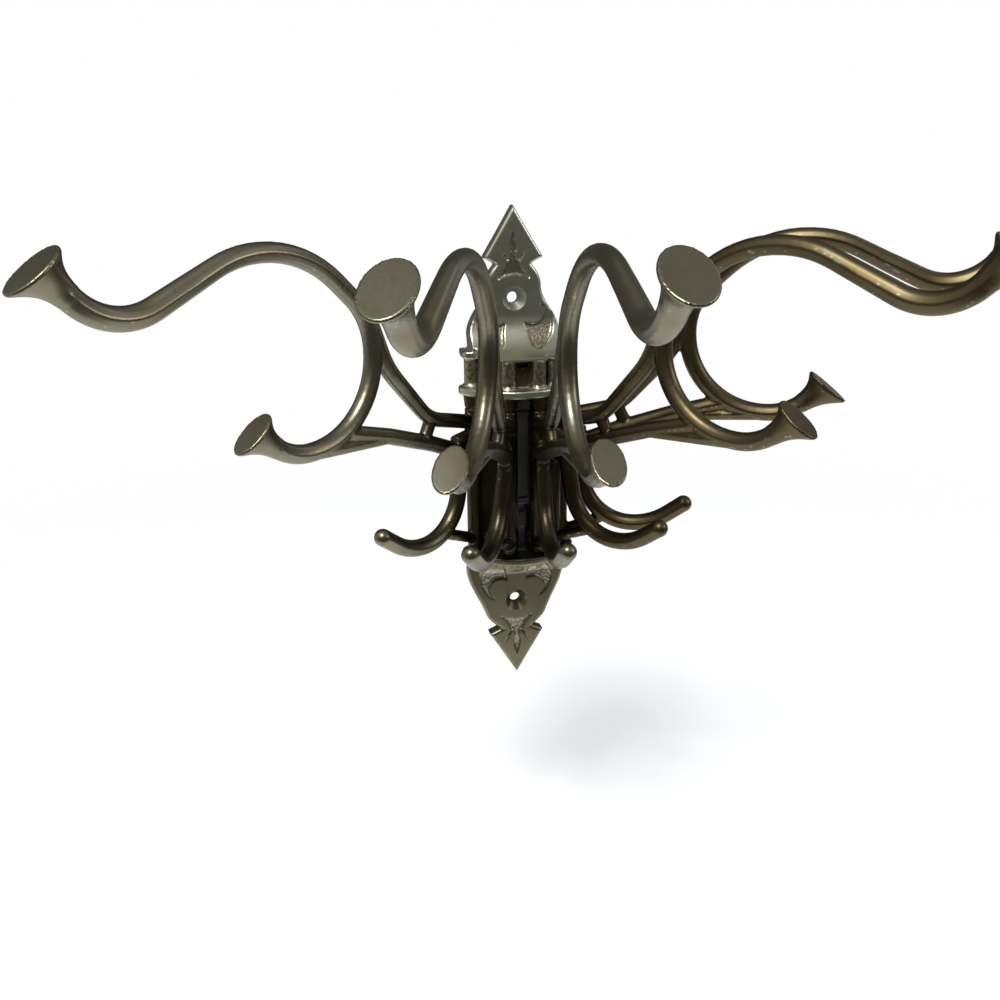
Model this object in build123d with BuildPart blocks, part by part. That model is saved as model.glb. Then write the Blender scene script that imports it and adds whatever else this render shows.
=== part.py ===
from build123d import *
import math
import os

os.makedirs("parts", exist_ok=True)

# Swivel wall hook: a cast wall plate carries flat cast arms on vertical pivot pins.
# The origin is on the plate's back, midway between the two screw holes.
# +Z is up, the back lies in y = 0 and the front looks along -Y.

# Wall plate
hole_half_pitch = 49.4
screw_hole_dia = 3.4
countersink_dia = 7.4
countersink_angle = 82
shield_thickness = 4.2
shield_bevel = 1.3
neck_half_width = 5.6
neck_from_hole = 9.8
barb_half_width = 9.0
barb_from_hole = 12.0
tip_from_hole = 26.8
cheek_half_width = 4.05
cheek_from_hole = 20.0
upper_shoulder_half_width = 8.2
upper_shoulder_from_hole = 6.4
upper_waist_half_width = 9.8
upper_waist_before_hole = 1.2
upper_hip_half_width = 14.1
upper_hip_before_hole = 9.6
lower_shoulder_half_width = 9.4
lower_shoulder_from_hole = 6.4
lower_waist_half_width = 12.1
lower_waist_before_hole = 0.4
lower_hip_half_width = 15.9
lower_hip_before_hole = 9.8
shield_end_half_width = 13.4
channel_half_width = 12.6
channel_thickness = 2.6

# Sunk ornament on both shields
ornament_depth = 0.8
scroll_tip_x = 6.6
scroll_tip_below_hole = 1.4
scroll_outer_x = 12.0
scroll_inner_x = 3.0
scroll_bottom_below_hole = 14.4
fan_half_width = 6.0
fan_from_hole = 4.7
fan_arch_rise = 1.6
fan_throat_half_width = 1.3
fan_throat_from_hole = 10.8
fan_cheek_pinch = 0.7
fan_leaf_from_hole = 20.5
fan_leaf_half_width = 1.2
side_leaf_x = 4.4
side_leaf_from_hole = 16.6
side_leaf_belly = 0.85

# Pivot stations, measured from straight ahead about the wall-plane origin
station_radius = 15.3
first_station_angle = 17.5
station_step = 24.0
stations_each_side = 3

# Pins and bores
pin_dia = 2.4
pin_seat_clearance = 0.02
pin_running_clearance = 0.06
pin_top_gap = 0.4

# Upper housing
shelf_top_z = 24.2
shelf_thickness = 2.4
shelf_rim = 4.1
post_radius = 2.25
post_top_z = 32.6
cap_edge_thickness = 0.9
cap_overhang = 0.3
cove_radius = 11.8
shield_lap = 1.6
core_inset = 1.4
slot_width = 3.4
slot_height = 1.2
slot_depth = 3.0
slot_below_cap = 1.6
under_boss_length = 4.2
under_boss_top_radius = 2.8
under_boss_bottom_radius = 2.3

# Lower housing
lower_shelf_top_z = -28.7
lower_shelf_thickness = 2.3
lower_boss_radius = 2.1
lower_boss_length = 2.6
lower_rib_width = 4.0
lower_rib_drop = 6.5
lower_rib_setback = 1.2
lower_rib_nose = 0.8
pin_floor_thickness = 1.0

# Centre strip between the two front stations
strip_width = 3.6
strip_front = 14.2
strip_top_block = 2.0
strip_groove = 0.8
strip_groove_depth = 0.7
strip_bar_bottom_z = -10.0

# Arm casting, r measured out from the pivot axis; headings in degrees up from level
barrel_radius = 2.4
barrel_end_gap = 0.3
ring_rod_radius = 2.45
trough_rod_radius = 2.75
ring_back_r = 38.0
ring_bottom_z = 17.2
ring_radius = 23.4
ring_back_run = 0.4
shoulder_bend_radius = 19.3
shoulder_heading = 44.0
shoulder_run = 6.4
peak_rise_radius = 32.3
peak_run = 0.5
peak_fall_radius = 30.4
fall_heading = -24.1
fall_run = 17.6
trough_bend_radius = 15.8
top_neck_heading = 47.5
top_neck_run = 2.2
top_flare_length = 7.7
top_flare_heading = 42.5
top_face_tilt = 53.0
top_half_height = 7.4
top_half_width = 5.4
prong_run = 0.5
prong_bend_radius = 16.5
prong_heading = 37.0
prong_end_run = 0.8
mid_flare_length = 8.2
mid_flare_heading = 41.0
mid_face_tilt = 55.0
mid_half_height = 6.3
mid_half_width = 4.0
flare_rim = 0.7
flare_undercut = 0.15
flare_overlap = 1.4
upper_strut_z = 12.9
upper_strut_heading = 13.4
upper_strut_run = 14.3
upper_strut_hub_radius = 2.1
upper_strut_ring_radius = 2.4
upper_strut_bend_radius = 14.0
upper_strut_climb = 48.7
upper_strut_climb_run = 14.1
upper_strut_merge_radius = 25.0
upper_strut_merge_heading = 70.7
upper_strut_merge_run = 7.8
lower_strut_r = 3.0
lower_strut_z = 3.6
lower_strut_heading = 19.2
lower_strut_run = 49.5
lower_strut_radius = 2.3
hook_top_r = 4.9
hook_top_z = 4.0
hook_drop_heading = -78.0
hook_drop_run = 12.7
hook_rod_radius = 2.5
hook_heel_bend_radius = 15.4
hook_toe_bend_radius = 19.4
hook_tip_heading = 36.5
hook_tip_run = 6.2
hook_tip_radius = 2.56
spreader_top_r = 17.3
spreader_top_z = 17.6
spreader_foot_r = 21.4
spreader_foot_z = 10.2
spreader_radius = 1.9
hub_web_z = 5.6
hub_web_reach = 8.0
hub_web_radius = 2.05
hub_web_half_height = 3.6
heel_web_z = -25.2
heel_web_rise = 5.4
heel_web_reach = 13.0
heel_web_radius = 1.7

# Arms in the pose of the photograph: side, station number, azimuth, lean and twist of the hook
# The azimuth turns from +X towards the viewer, all angles in degrees
arm_poses = {
    "arm_far_left": (-1, 2, 143.9, -1.5, 0.0),
    "arm_front_left": (-1, 0, 113.9, 2.8, 4.5),
    "arm_front_right": (1, 0, 93.9, -1.4, 0.0),
    "arm_right": (1, 1, 54.0, 0.0, 0.0),
    "arm_far_right": (1, 2, 27.9, 0.0, 0.0),
}

# Derived values
pin_radius = pin_dia / 2
seat_radius = pin_radius + pin_seat_clearance
bore_radius = pin_radius + pin_running_clearance
shelf_bottom_z = shelf_top_z - shelf_thickness
under_boss_bottom_z = shelf_bottom_z - under_boss_length
lower_shelf_bottom_z = lower_shelf_top_z - lower_shelf_thickness
lower_boss_bottom_z = lower_shelf_bottom_z - lower_boss_length
pin_bottom_z = lower_boss_bottom_z + pin_floor_thickness
barrel_top_z = under_boss_bottom_z - barrel_end_gap
barrel_bottom_z = lower_shelf_top_z + barrel_end_gap
core_radius = station_radius - core_inset
rim_radius = station_radius + shelf_rim
cap_top_z = post_top_z + cap_edge_thickness
last_station_angle = first_station_angle + (stations_each_side - 1) * station_step


def station_xy(side, number):
    """Centre of a pivot, counted outwards from the middle on one side."""
    angle = math.radians(first_station_angle + number * station_step)
    return side * station_radius * math.sin(angle), -station_radius * math.cos(angle)


all_stations = [station_xy(side, k) for side in (-1, 1) for k in range(stations_each_side)]


def half_shield(side, shoulder, waist, hip):
    """Closed right half of a shield and its arrowhead, z growing away from the middle."""
    hole = hole_half_pitch
    with BuildSketch(Plane.XZ) as half:
        with BuildLine():
            tip = (0, side * (hole + tip_from_hole))
            cheek = (cheek_half_width, side * (hole + cheek_from_hole))
            barb = (barb_half_width, side * (hole + barb_from_hole))
            neck = (neck_half_width, side * (hole + neck_from_hole))
            shoulder, waist, hip = [(x, side * (hole + z)) for x, z in (shoulder, waist, hip)]
            end = (shield_end_half_width, side * (shelf_top_z + shield_lap))
            ThreePointArc(tip, cheek, barb)
            Line(barb, neck)
            Line(neck, shoulder)
            ThreePointArc(shoulder, waist, hip)
            Line(hip, end)
            Line(end, (0, end[1]))
            Line((0, end[1]), tip)
        make_face()
    return half.sketch


def scroll_recess(side, hand):
    """Comma-shaped sunk scroll beside the shield's ridge."""
    hole = hole_half_pitch
    with BuildSketch(Plane.XZ.offset(shield_thickness)) as scroll:
        with BuildLine():
            tip = (hand * scroll_tip_x, side * (hole - scroll_tip_below_hole))
            horn = (hand * scroll_inner_x, side * (hole - scroll_tip_below_hole - 6.4))
            outer = (hand * scroll_outer_x, side * (hole - scroll_tip_below_hole - 6.2))
            foot = (hand * (scroll_inner_x + 4.4), side * (hole - scroll_bottom_below_hole))
            Spline(
                tip,
                (hand * (scroll_outer_x - 2.1), side * (hole - scroll_tip_below_hole - 1.9)),
                outer,
                (hand * (scroll_outer_x - 1.6), side * (hole - scroll_bottom_below_hole + 2.6)),
                foot,
                (hand * (scroll_inner_x + 1.3), side * (hole - scroll_bottom_below_hole + 2.4)),
                horn,
            )
            Spline(
                horn,
                (hand * (scroll_inner_x + 1.5), side * (hole - scroll_tip_below_hole - 5.7)),
                (hand * (scroll_inner_x + 4.2), side * (hole - scroll_tip_below_hole - 6.0)),
                (hand * (scroll_inner_x + 5.8), side * (hole - scroll_tip_below_hole - 3.6)),
                (hand * (scroll_tip_x + 0.6), side * (hole - scroll_tip_below_hole - 1.2)),
                tip,
            )
        make_face()
    return scroll.sketch


def fan_recess(side):
    """Three-pointed sunk fan whose throat runs into the arrowhead as a leaf."""
    hole = hole_half_pitch
    with BuildSketch(Plane.XZ.offset(shield_thickness)) as fan:
        with BuildLine():
            left = (-fan_half_width, side * (hole + fan_from_hole))
            right = (fan_half_width, side * (hole + fan_from_hole))
            throat_l = (-fan_throat_half_width, side * (hole + fan_throat_from_hole))
            throat_r = (fan_throat_half_width, side * (hole + fan_throat_from_hole))
            leaf = (0, side * (hole + fan_leaf_from_hole))
            ThreePointArc(left, (0, side * (hole + fan_from_hole + fan_arch_rise)), right)
            cheek_x = (fan_half_width + fan_throat_half_width) / 2 - fan_cheek_pinch
            cheek_z = side * (hole + (fan_from_hole + fan_throat_from_hole) / 2)
            belly_z = side * (hole + (fan_throat_from_hole + fan_leaf_from_hole) / 2)
            ThreePointArc(right, (cheek_x, cheek_z), throat_r)
            ThreePointArc(throat_r, (fan_leaf_half_width, belly_z), leaf)
            ThreePointArc(leaf, (-fan_leaf_half_width, belly_z), throat_l)
            ThreePointArc(throat_l, (-cheek_x, cheek_z), left)
        make_face()
    return fan.sketch


def side_leaf(side, hand):
    """Sunk leaf that leaves the fan's throat to one side."""
    hole = hole_half_pitch
    with BuildSketch(Plane.XZ.offset(shield_thickness)) as leaf:
        with BuildLine():
            root = (hand * fan_throat_half_width * 0.8, side * (hole + fan_throat_from_hole - 0.6))
            end = (hand * side_leaf_x, side * (hole + side_leaf_from_hole))
            middle_x, middle_z = (root[0] + end[0]) / 2, (root[1] + end[1]) / 2
            inner = (middle_x - hand * side_leaf_belly, middle_z + side * side_leaf_belly / 2)
            outer = (middle_x + hand * side_leaf_belly, middle_z - side * side_leaf_belly / 2)
            ThreePointArc(root, inner, end)
            ThreePointArc(end, outer, root)
        make_face()
    return leaf.sketch


def rim_outline(radius, end_radius, z):
    """Plan of a shelf: an arc past all stations, rounded at both ends."""
    reach = math.radians(last_station_angle)
    with BuildSketch(Plane.XY.offset(z)) as rim:
        with BuildLine():
            a = (-radius * math.sin(reach), -radius * math.cos(reach))
            b = (radius * math.sin(reach), -radius * math.cos(reach))
            ThreePointArc(a, (0, -radius), b)
            last_x = station_xy(1, stations_each_side - 1)[0]
            Polyline(b, (last_x, 0), (-last_x, 0), a)
        make_face()
        with Locations(*[station_xy(s, stations_each_side - 1) for s in (-1, 1)]):
            Circle(end_radius)
    return rim.sketch


def cap_bay(number):
    """Half width and depth of the cap over one pair of posts."""
    x, y = station_xy(1, number)
    return x + post_radius + cap_overhang, post_radius + cap_overhang - y


def cove_face(depth):
    """Side view of the cap's cove, from the shield's face out to one bay's edge."""
    centre_y = -shield_thickness - cove_radius
    centre_z = cap_top_z + cove_radius
    reach = min(depth, -centre_y)

    def on_cove(y):
        return (y, centre_z - math.sqrt(max(cove_radius**2 - (y - centre_y) ** 2, 0)))

    with BuildSketch(Plane.YZ) as cove:
        with BuildLine():
            top = on_cove(-shield_thickness)
            edge = on_cove(-reach)
            ThreePointArc(top, on_cove(-(shield_thickness + reach) / 2), edge)
            lip = [edge, (-depth, edge[1])] if depth > reach else [edge]
            Polyline(*lip, (-depth, post_top_z), (0, post_top_z), (0, top[1]), top)
        make_face()
    return cove.sketch


upper_outline = (
    (upper_shoulder_half_width, upper_shoulder_from_hole),
    (upper_waist_half_width, -upper_waist_before_hole),
    (upper_hip_half_width, -upper_hip_before_hole),
)
lower_outline = (
    (lower_shoulder_half_width, lower_shoulder_from_hole),
    (lower_waist_half_width, -lower_waist_before_hole),
    (lower_hip_half_width, -lower_hip_before_hole),
)

with BuildPart() as wall_plate:
    # Shields with their arrowheads, and the sunk channel between them
    for side, outline in ((1, upper_outline), (-1, lower_outline)):
        half = half_shield(side, *outline)
        extrude(half, amount=shield_thickness)
        extrude(half.mirror(Plane.YZ), amount=shield_thickness)
    front_edges = (
        wall_plate.faces().filter_by(Axis.Y).sort_by(Axis.Y)[:2].edges().filter_by(
            lambda e: abs(e.center().X) > 0.5 and abs(e.center().Z) > shelf_top_z + shield_lap + 0.5
        )
    )
    chamfer(front_edges, length=shield_bevel)
    with BuildSketch(Plane.XZ) as channel:
        Rectangle(2 * channel_half_width, 2 * (shelf_top_z + shield_lap + 1.0))
    extrude(amount=channel_thickness)
    # Upper shelf, core, posts and cap
    extrude(rim_outline(rim_radius, shelf_rim, shelf_bottom_z), amount=shelf_thickness)
    with BuildSketch(Plane.XY.offset(shelf_top_z)):
        with Locations(*all_stations):
            Circle(post_radius)
    extrude(amount=post_top_z - shelf_top_z)
    core_outline = rim_outline(core_radius, post_radius - core_inset, shelf_top_z)
    extrude(core_outline, amount=post_top_z - shelf_top_z)
    for k in range(stations_each_side):
        half_width, depth = cap_bay(k)
        extrude(cove_face(depth), amount=half_width, both=True)
    # Lower shelf, bosses and rib
    extrude(rim_outline(rim_radius, shelf_rim, lower_shelf_bottom_z), amount=lower_shelf_thickness)
    with BuildSketch(Plane.XY.offset(lower_boss_bottom_z)):
        with Locations(*all_stations):
            Circle(lower_boss_radius)
    extrude(amount=lower_boss_length)
    with BuildSketch(Plane.YZ) as rib:
        with BuildLine():
            Polyline(
                (0, lower_shelf_bottom_z),
                (lower_rib_setback - rim_radius, lower_shelf_bottom_z),
                (lower_rib_setback - rim_radius, lower_shelf_bottom_z - lower_rib_nose),
                (-shield_thickness, lower_shelf_bottom_z - lower_rib_drop),
                (0, lower_shelf_bottom_z - lower_rib_drop),
                close=True,
            )
        make_face()
    extrude(amount=lower_rib_width / 2, both=True)
    # Tapered bosses under the upper shelf
    for x, y in all_stations:
        with BuildSketch(Plane.XY.offset(under_boss_bottom_z)):
            with Locations((x, y)):
                Circle(under_boss_bottom_radius)
        with BuildSketch(Plane.XY.offset(shelf_bottom_z)):
            with Locations((x, y)):
                Circle(under_boss_top_radius)
        loft()
    # Centre strip with two cross grooves
    with BuildSketch(Plane.XY.offset(lower_shelf_top_z)):
        with Locations((0, -strip_front / 2)):
            Rectangle(strip_width, strip_front)
    extrude(amount=shelf_bottom_z - lower_shelf_top_z)
    for z in (shelf_bottom_z - strip_top_block, strip_bar_bottom_z):
        with Locations((0, -strip_front, z)):
            Box(
                strip_width,
                2 * strip_groove_depth,
                strip_groove,
                mode=Mode.SUBTRACT,
            )
    # Slot between the two front posts
    with Locations((0, -core_radius, post_top_z - slot_below_cap)):
        Box(slot_width, 2 * slot_depth, slot_height, mode=Mode.SUBTRACT)
    # Sunk ornament
    for side in (-1, 1):
        for hand in (-1, 1):
            extrude(scroll_recess(side, hand), amount=-ornament_depth, mode=Mode.SUBTRACT)
            extrude(side_leaf(side, hand), amount=-ornament_depth, mode=Mode.SUBTRACT)
        extrude(fan_recess(side), amount=-ornament_depth, mode=Mode.SUBTRACT)
    # Countersunk screw holes and the pin seats
    with Locations(Plane.XZ.offset(shield_thickness)):
        with Locations((0, hole_half_pitch), (0, -hole_half_pitch)):
            CounterSinkHole(
                screw_hole_dia / 2,
                countersink_dia / 2,
                counter_sink_angle=countersink_angle,
            )
    with BuildSketch(Plane.XY.offset(pin_bottom_z)):
        with Locations(*all_stations):
            Circle(seat_radius)
    extrude(amount=post_top_z - pin_bottom_z, mode=Mode.SUBTRACT)
wall_plate.part.label = "wall_plate"
export_step(wall_plate.part, "parts/wall_plate.step")


def disc(place, heading, radius):
    """Round section of a rod, square to its heading."""
    with BuildSketch(Plane(origin=place, z_dir=heading)) as section:
        Circle(radius)
    return section.sketch


def rod(at, way, start, heading, start_radius, steps):
    """Rod of straight runs and bends; returns its end as (r, z, heading).

    A step is (run, end radius) or (bend radius, new heading, rod radius). The place
    and the heading of each step follow from the step before it.
    """
    r, z = start
    radius = start_radius
    for step in steps:
        if len(step) == 2:
            run, end_radius = step
            here, ahead = at(r, z), way(heading)
            r += run * math.cos(math.radians(heading))
            z += run * math.sin(math.radians(heading))
            if abs(end_radius - radius) < 1e-6:
                extrude(disc(here, ahead, radius), amount=run)
            else:
                loft([disc(here, ahead, radius), disc(at(r, z), ahead, end_radius)])
            radius = end_radius
        else:
            bend_radius, new_heading, radius = step
            side = 1 if new_heading > heading else -1
            facing = math.radians(heading + 90 * side)
            centre = (r + bend_radius * math.cos(facing), z + bend_radius * math.sin(facing))
            places = []
            for share in (0.5, 1.0):
                angle = math.radians(heading + (new_heading - heading) * share - 90 * side)
                step_r, step_z = bend_radius * math.cos(angle), bend_radius * math.sin(angle)
                places.append((centre[0] + step_r, centre[1] + step_z))
            with BuildLine() as route:
                ThreePointArc(at(r, z), at(*places[0]), at(*places[1]))
            sweep(disc(at(r, z), way(heading), radius), path=route.line)
            r, z = places[1]
            heading = new_heading
    return r, z, heading


def trumpet(neck, neck_axis, face, face_axis, across, half_height, half_width, neck_radius):
    """Flared end: round at the neck, with a flat oval face that tips back from the neck's line."""
    middle = neck + neck_axis * ((face - neck).length / 2)
    sections = []
    for share, spread in ((0.0, 0.0), (0.35, 0.13), (0.62, 0.42), (0.84, 0.82)):
        place = neck * (1 - share) ** 2 + middle * (2 * share * (1 - share)) + face * share**2
        axis = (neck_axis * (1 - share) + face_axis * share).normalized()
        sections.append((place, axis, spread))
    sections.append((face - face_axis * flare_rim, face_axis, 1.0))
    ovals = []
    for place, axis, spread in sections:
        with BuildSketch(Plane(origin=place, x_dir=across, z_dir=axis)) as section:
            Ellipse(
                neck_radius + (half_width - neck_radius) * spread,
                neck_radius + (half_height - neck_radius) * spread,
            )
        ovals.append(section.sketch)
    loft(ovals)
    extrude(ovals[-1], amount=flare_rim)


def make_arm(side, number, azimuth, lean, hook_twist):
    """One arm: hub barrel, braced frame, ring, upper arm, middle prong and lower hook."""
    x, y = station_xy(side, number)
    hub = Vector(x, y, 0)

    def plane_of(angle):
        """Place and direction in the arm's upright plane at this azimuth."""
        turn = math.radians(angle)
        out = Vector(math.cos(turn), -math.sin(turn), 0)
        across = Vector(math.sin(turn), math.cos(turn), 0)
        rise = (Vector(0, 0, 1) + across * math.tan(math.radians(lean))).normalized()

        def at(r, z):
            return hub + out * r + rise * z

        def way(heading):
            tip = math.radians(heading)
            return (out * math.cos(tip) + rise * math.sin(tip)).normalized()

        return at, way, out.cross(rise).normalized()

    at, way, across = plane_of(azimuth)
    hook_at, hook_way, _ = plane_of(azimuth + hook_twist)
    ring_foot = (ring_back_r + ring_radius, ring_bottom_z)
    with BuildPart() as arm:
        with BuildSketch(Plane.XY.offset(barrel_bottom_z)):
            with Locations((x, y)):
                Circle(barrel_radius)
        extrude(amount=barrel_top_z - barrel_bottom_z)
        # Ring, upper arm and its flare
        r, z, heading = rod(
            at,
            way,
            ring_foot,
            180.0,
            ring_rod_radius,
            (
                (ring_radius, 90.0, ring_rod_radius),
                (ring_back_run, ring_rod_radius),
                (shoulder_bend_radius, shoulder_heading, ring_rod_radius),
                (shoulder_run, ring_rod_radius),
                (peak_rise_radius, 0.0, ring_rod_radius),
                (peak_run, ring_rod_radius),
                (peak_fall_radius, fall_heading, ring_rod_radius),
                (fall_run, trough_rod_radius),
                (trough_bend_radius, top_neck_heading, trough_rod_radius),
                (top_neck_run, trough_rod_radius),
            ),
        )
        flare(
            at,
            way,
            across,
            (r, z, heading),
            trough_rod_radius,
            (top_flare_length, top_flare_heading, top_face_tilt, top_half_height, top_half_width),
        )
        # Middle prong and its flare
        r, z, heading = rod(
            at,
            way,
            ring_foot,
            0.0,
            ring_rod_radius,
            (
                (prong_run, ring_rod_radius),
                (prong_bend_radius, prong_heading, ring_rod_radius),
                (prong_end_run, ring_rod_radius),
            ),
        )
        flare(
            at,
            way,
            across,
            (r, z, heading),
            ring_rod_radius,
            (mid_flare_length, mid_flare_heading, mid_face_tilt, mid_half_height, mid_half_width),
        )
        # Struts and the spreader between them
        rod(
            at,
            way,
            (0, upper_strut_z),
            upper_strut_heading,
            upper_strut_hub_radius,
            (
                (upper_strut_run, upper_strut_hub_radius),
                (upper_strut_bend_radius, upper_strut_climb, upper_strut_hub_radius),
                (upper_strut_climb_run, upper_strut_ring_radius),
                (upper_strut_merge_radius, upper_strut_merge_heading, upper_strut_ring_radius),
                (upper_strut_merge_run, upper_strut_ring_radius),
            ),
        )
        rod(
            at,
            way,
            (lower_strut_r, lower_strut_z),
            lower_strut_heading,
            lower_strut_radius,
            ((lower_strut_run, lower_strut_radius),),
        )
        bar(at(spreader_top_r, spreader_top_z), at(spreader_foot_r, spreader_foot_z), spreader_radius)
        # Lower hook with its rounded tip
        r, z, heading = rod(
            hook_at,
            hook_way,
            (hook_top_r, hook_top_z),
            hook_drop_heading,
            hook_rod_radius,
            (
                (hook_drop_run, hook_rod_radius),
                (hook_heel_bend_radius, 0.0, hook_rod_radius),
                (hook_toe_bend_radius, hook_tip_heading, hook_rod_radius),
                (hook_tip_run, hook_rod_radius),
            ),
        )
        with Locations(hook_at(r, z)):
            Sphere(hook_tip_radius)
        # Webs that tie the hook and the struts to the barrel
        for rise in (-hub_web_half_height, 0, hub_web_half_height):
            bar(at(0, hub_web_z + rise), at(hub_web_reach, hub_web_z + rise * 0.5), hub_web_radius)
        bar(
            hook_at(0, heel_web_z),
            hook_at(heel_web_reach, heel_web_z + heel_web_rise),
            heel_web_radius,
        )
        with BuildSketch(Plane.XY.offset(barrel_bottom_z - 1.0)):
            with Locations((x, y)):
                Circle(bore_radius)
        extrude(amount=barrel_top_z - barrel_bottom_z + 2.0, mode=Mode.SUBTRACT)
    return arm.part


def bar(start, end, section_radius):
    """Straight round rod between two points."""
    extrude(disc(start, (end - start).normalized(), section_radius), amount=(end - start).length)


def flare(at, way, across, rod_end, rod_radius, sizes):
    """Flare on a rod's end, sunk into the rod so that the two melt together."""
    r, z, heading = rod_end
    length, lift, tilt, half_height, half_width = sizes
    forward = math.radians(heading)
    lift = math.radians(lift)
    neck = at(r - flare_overlap * math.cos(forward), z - flare_overlap * math.sin(forward))
    face = at(r + length * math.cos(lift), z + length * math.sin(lift))
    neck_radius = rod_radius - flare_undercut
    trumpet(neck, way(heading), face, way(tilt), across, half_height, half_width, neck_radius)


for name, pose in arm_poses.items():
    casting = make_arm(*pose)
    casting.label = name
    export_step(casting, f"parts/{name}.step")

for name, pose in arm_poses.items():
    with BuildPart() as pin:
        with BuildSketch(Plane.XY.offset(pin_bottom_z)):
            with Locations(station_xy(pose[0], pose[1])):
                Circle(pin_radius)
        extrude(amount=post_top_z - pin_top_gap - pin_bottom_z)
    pin.part.label = name.replace("arm_", "pin_")
    export_step(pin.part, f"parts/{pin.part.label}.step")
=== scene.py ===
import logging
import math
from dataclasses import dataclass, field
from enum import Enum

import bmesh
import bpy
from mathutils import Matrix, Vector


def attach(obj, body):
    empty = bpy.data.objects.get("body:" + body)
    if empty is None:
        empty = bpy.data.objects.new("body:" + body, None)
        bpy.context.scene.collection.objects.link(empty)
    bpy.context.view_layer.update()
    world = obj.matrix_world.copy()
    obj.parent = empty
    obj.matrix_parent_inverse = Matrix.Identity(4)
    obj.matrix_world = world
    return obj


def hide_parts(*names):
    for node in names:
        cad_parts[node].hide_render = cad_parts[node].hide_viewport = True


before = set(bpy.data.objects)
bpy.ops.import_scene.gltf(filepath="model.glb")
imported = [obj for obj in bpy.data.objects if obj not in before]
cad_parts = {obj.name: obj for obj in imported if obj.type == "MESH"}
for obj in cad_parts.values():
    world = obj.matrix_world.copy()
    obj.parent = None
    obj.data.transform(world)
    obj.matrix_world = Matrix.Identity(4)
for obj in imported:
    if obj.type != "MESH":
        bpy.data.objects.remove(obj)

log = logging.getLogger("swivel_wall_hook")
MM = 0.001
HOLE_HEIGHT = 49.4
STATION_RADIUS = 15.3
STATION_ANGLES = (17.5, 41.5, 65.5)
COLOUR = tuple[float, float, float, float]
POINTS = tuple[tuple, ...]
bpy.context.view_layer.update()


class Slot(Enum):
    """Material slots of the record."""

    PLATE = "plate_casting"
    ARM = "arm_casting"
    PIN = "pin_steel"


# ---------------------------------------------------------------- node graphs


Value = float | tuple | bpy.types.NodeSocket


class Graph:
    """Short hand for adding and joining nodes of one tree."""

    def __init__(self, tree: bpy.types.NodeTree) -> None:
        """Keeps the tree that nodes are added to."""
        self.tree = tree

    def add(self, kind: str, inputs: dict | None = None, **settings) -> bpy.types.Node:
        """Adds a node, sets its properties and fills or links its inputs.

        Args:
            kind: Blender's name of the node type.
            inputs: socket name or number to value or to an output socket.
            settings: properties of the node.

        Returns:
            The new node.
        """
        node = self.tree.nodes.new(kind)
        for name, value in settings.items():
            setattr(node, name, value)
        for name, value in (inputs or {}).items():
            if isinstance(value, bpy.types.NodeSocket):
                self.tree.links.new(value, node.inputs[name])
            else:
                node.inputs[name].default_value = value
        return node

    def math(self, operation: str, *values: Value, clamp: bool = False) -> bpy.types.NodeSocket:
        """Adds a math node.

        Args:
            operation: Blender's name of the operation.
            values: numbers or sockets for its inputs, in order.
            clamp: whether the result is held between 0 and 1.

        Returns:
            The result's socket.
        """
        node = self.add("ShaderNodeMath", dict(enumerate(values)), operation=operation)
        node.use_clamp = clamp
        return node.outputs[0]

    def mix(self, factor: Value, first: Value, second: Value, blend: str = "MIX") -> bpy.types.NodeSocket:
        """Mixes two colours.

        Args:
            factor: number or socket.
            first: colour or socket at factor 0.
            second: colour or socket at factor 1.
            blend: blend type.

        Returns:
            The colour socket.
        """
        node = self.add("ShaderNodeMix", data_type="RGBA", blend_type=blend)
        for index, value in ((0, factor), (6, first), (7, second)):
            if isinstance(value, bpy.types.NodeSocket):
                self.tree.links.new(value, node.inputs[index])
            else:
                node.inputs[index].default_value = value
        return node.outputs[2]

    def spread(
        self, value: Value, low: Value, high: Value, to_low: float = 0.0, to_high: float = 1.0
    ) -> bpy.types.NodeSocket:
        """Maps a range smoothly to another.

        Args:
            value: socket to map.
            low: start of the range.
            high: end of the range.
            to_low: result at the start.
            to_high: result at the end.

        Returns:
            The result's socket.
        """
        node = self.add(
            "ShaderNodeMapRange",
            {"Value": value, "From Min": low, "From Max": high, "To Min": to_low, "To Max": to_high},
            interpolation_type="SMOOTHSTEP",
        )
        return node.outputs["Result"]

    def noise(self, place: Value, scale: Value, detail: float, roughness: float) -> bpy.types.NodeSocket:
        """Adds a noise and gives its factor.

        Args:
            place: the coordinates.
            scale: its scale.
            detail: its octaves.
            roughness: how much of the fine octaves it keeps.

        Returns:
            The factor's socket.
        """
        settings = {"Vector": place, "Scale": scale, "Detail": detail, "Roughness": roughness}
        return self.add("ShaderNodeTexNoise", settings).outputs["Fac"]


def group_tree(
    name: str, inputs: dict, outputs: dict
) -> tuple[bpy.types.NodeTree, Graph, dict, bpy.types.Node]:
    """Starts a shader node group with named sockets.

    Args:
        name: the group's name.
        inputs: input name to its default, a number, a colour or None for a vector.
        outputs: output name to its socket type.

    Returns:
        The tree, its graph, its input sockets by name and its output node.
    """
    tree = bpy.data.node_groups.new(name, "ShaderNodeTree")
    for label, default in inputs.items():
        if default is None:
            tree.interface.new_socket(label, in_out="INPUT", socket_type="NodeSocketVector")
        elif isinstance(default, tuple):
            item = tree.interface.new_socket(label, in_out="INPUT", socket_type="NodeSocketColor")
            item.default_value = default
        else:
            item = tree.interface.new_socket(label, in_out="INPUT", socket_type="NodeSocketFloat")
            item.default_value = default
    for label, kind in outputs.items():
        tree.interface.new_socket(label, in_out="OUTPUT", socket_type=kind)
    graph = Graph(tree)
    entry = graph.add("NodeGroupInput")
    finish = graph.add("NodeGroupOutput")
    return tree, graph, {label: entry.outputs[label] for label in inputs}, finish


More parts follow.
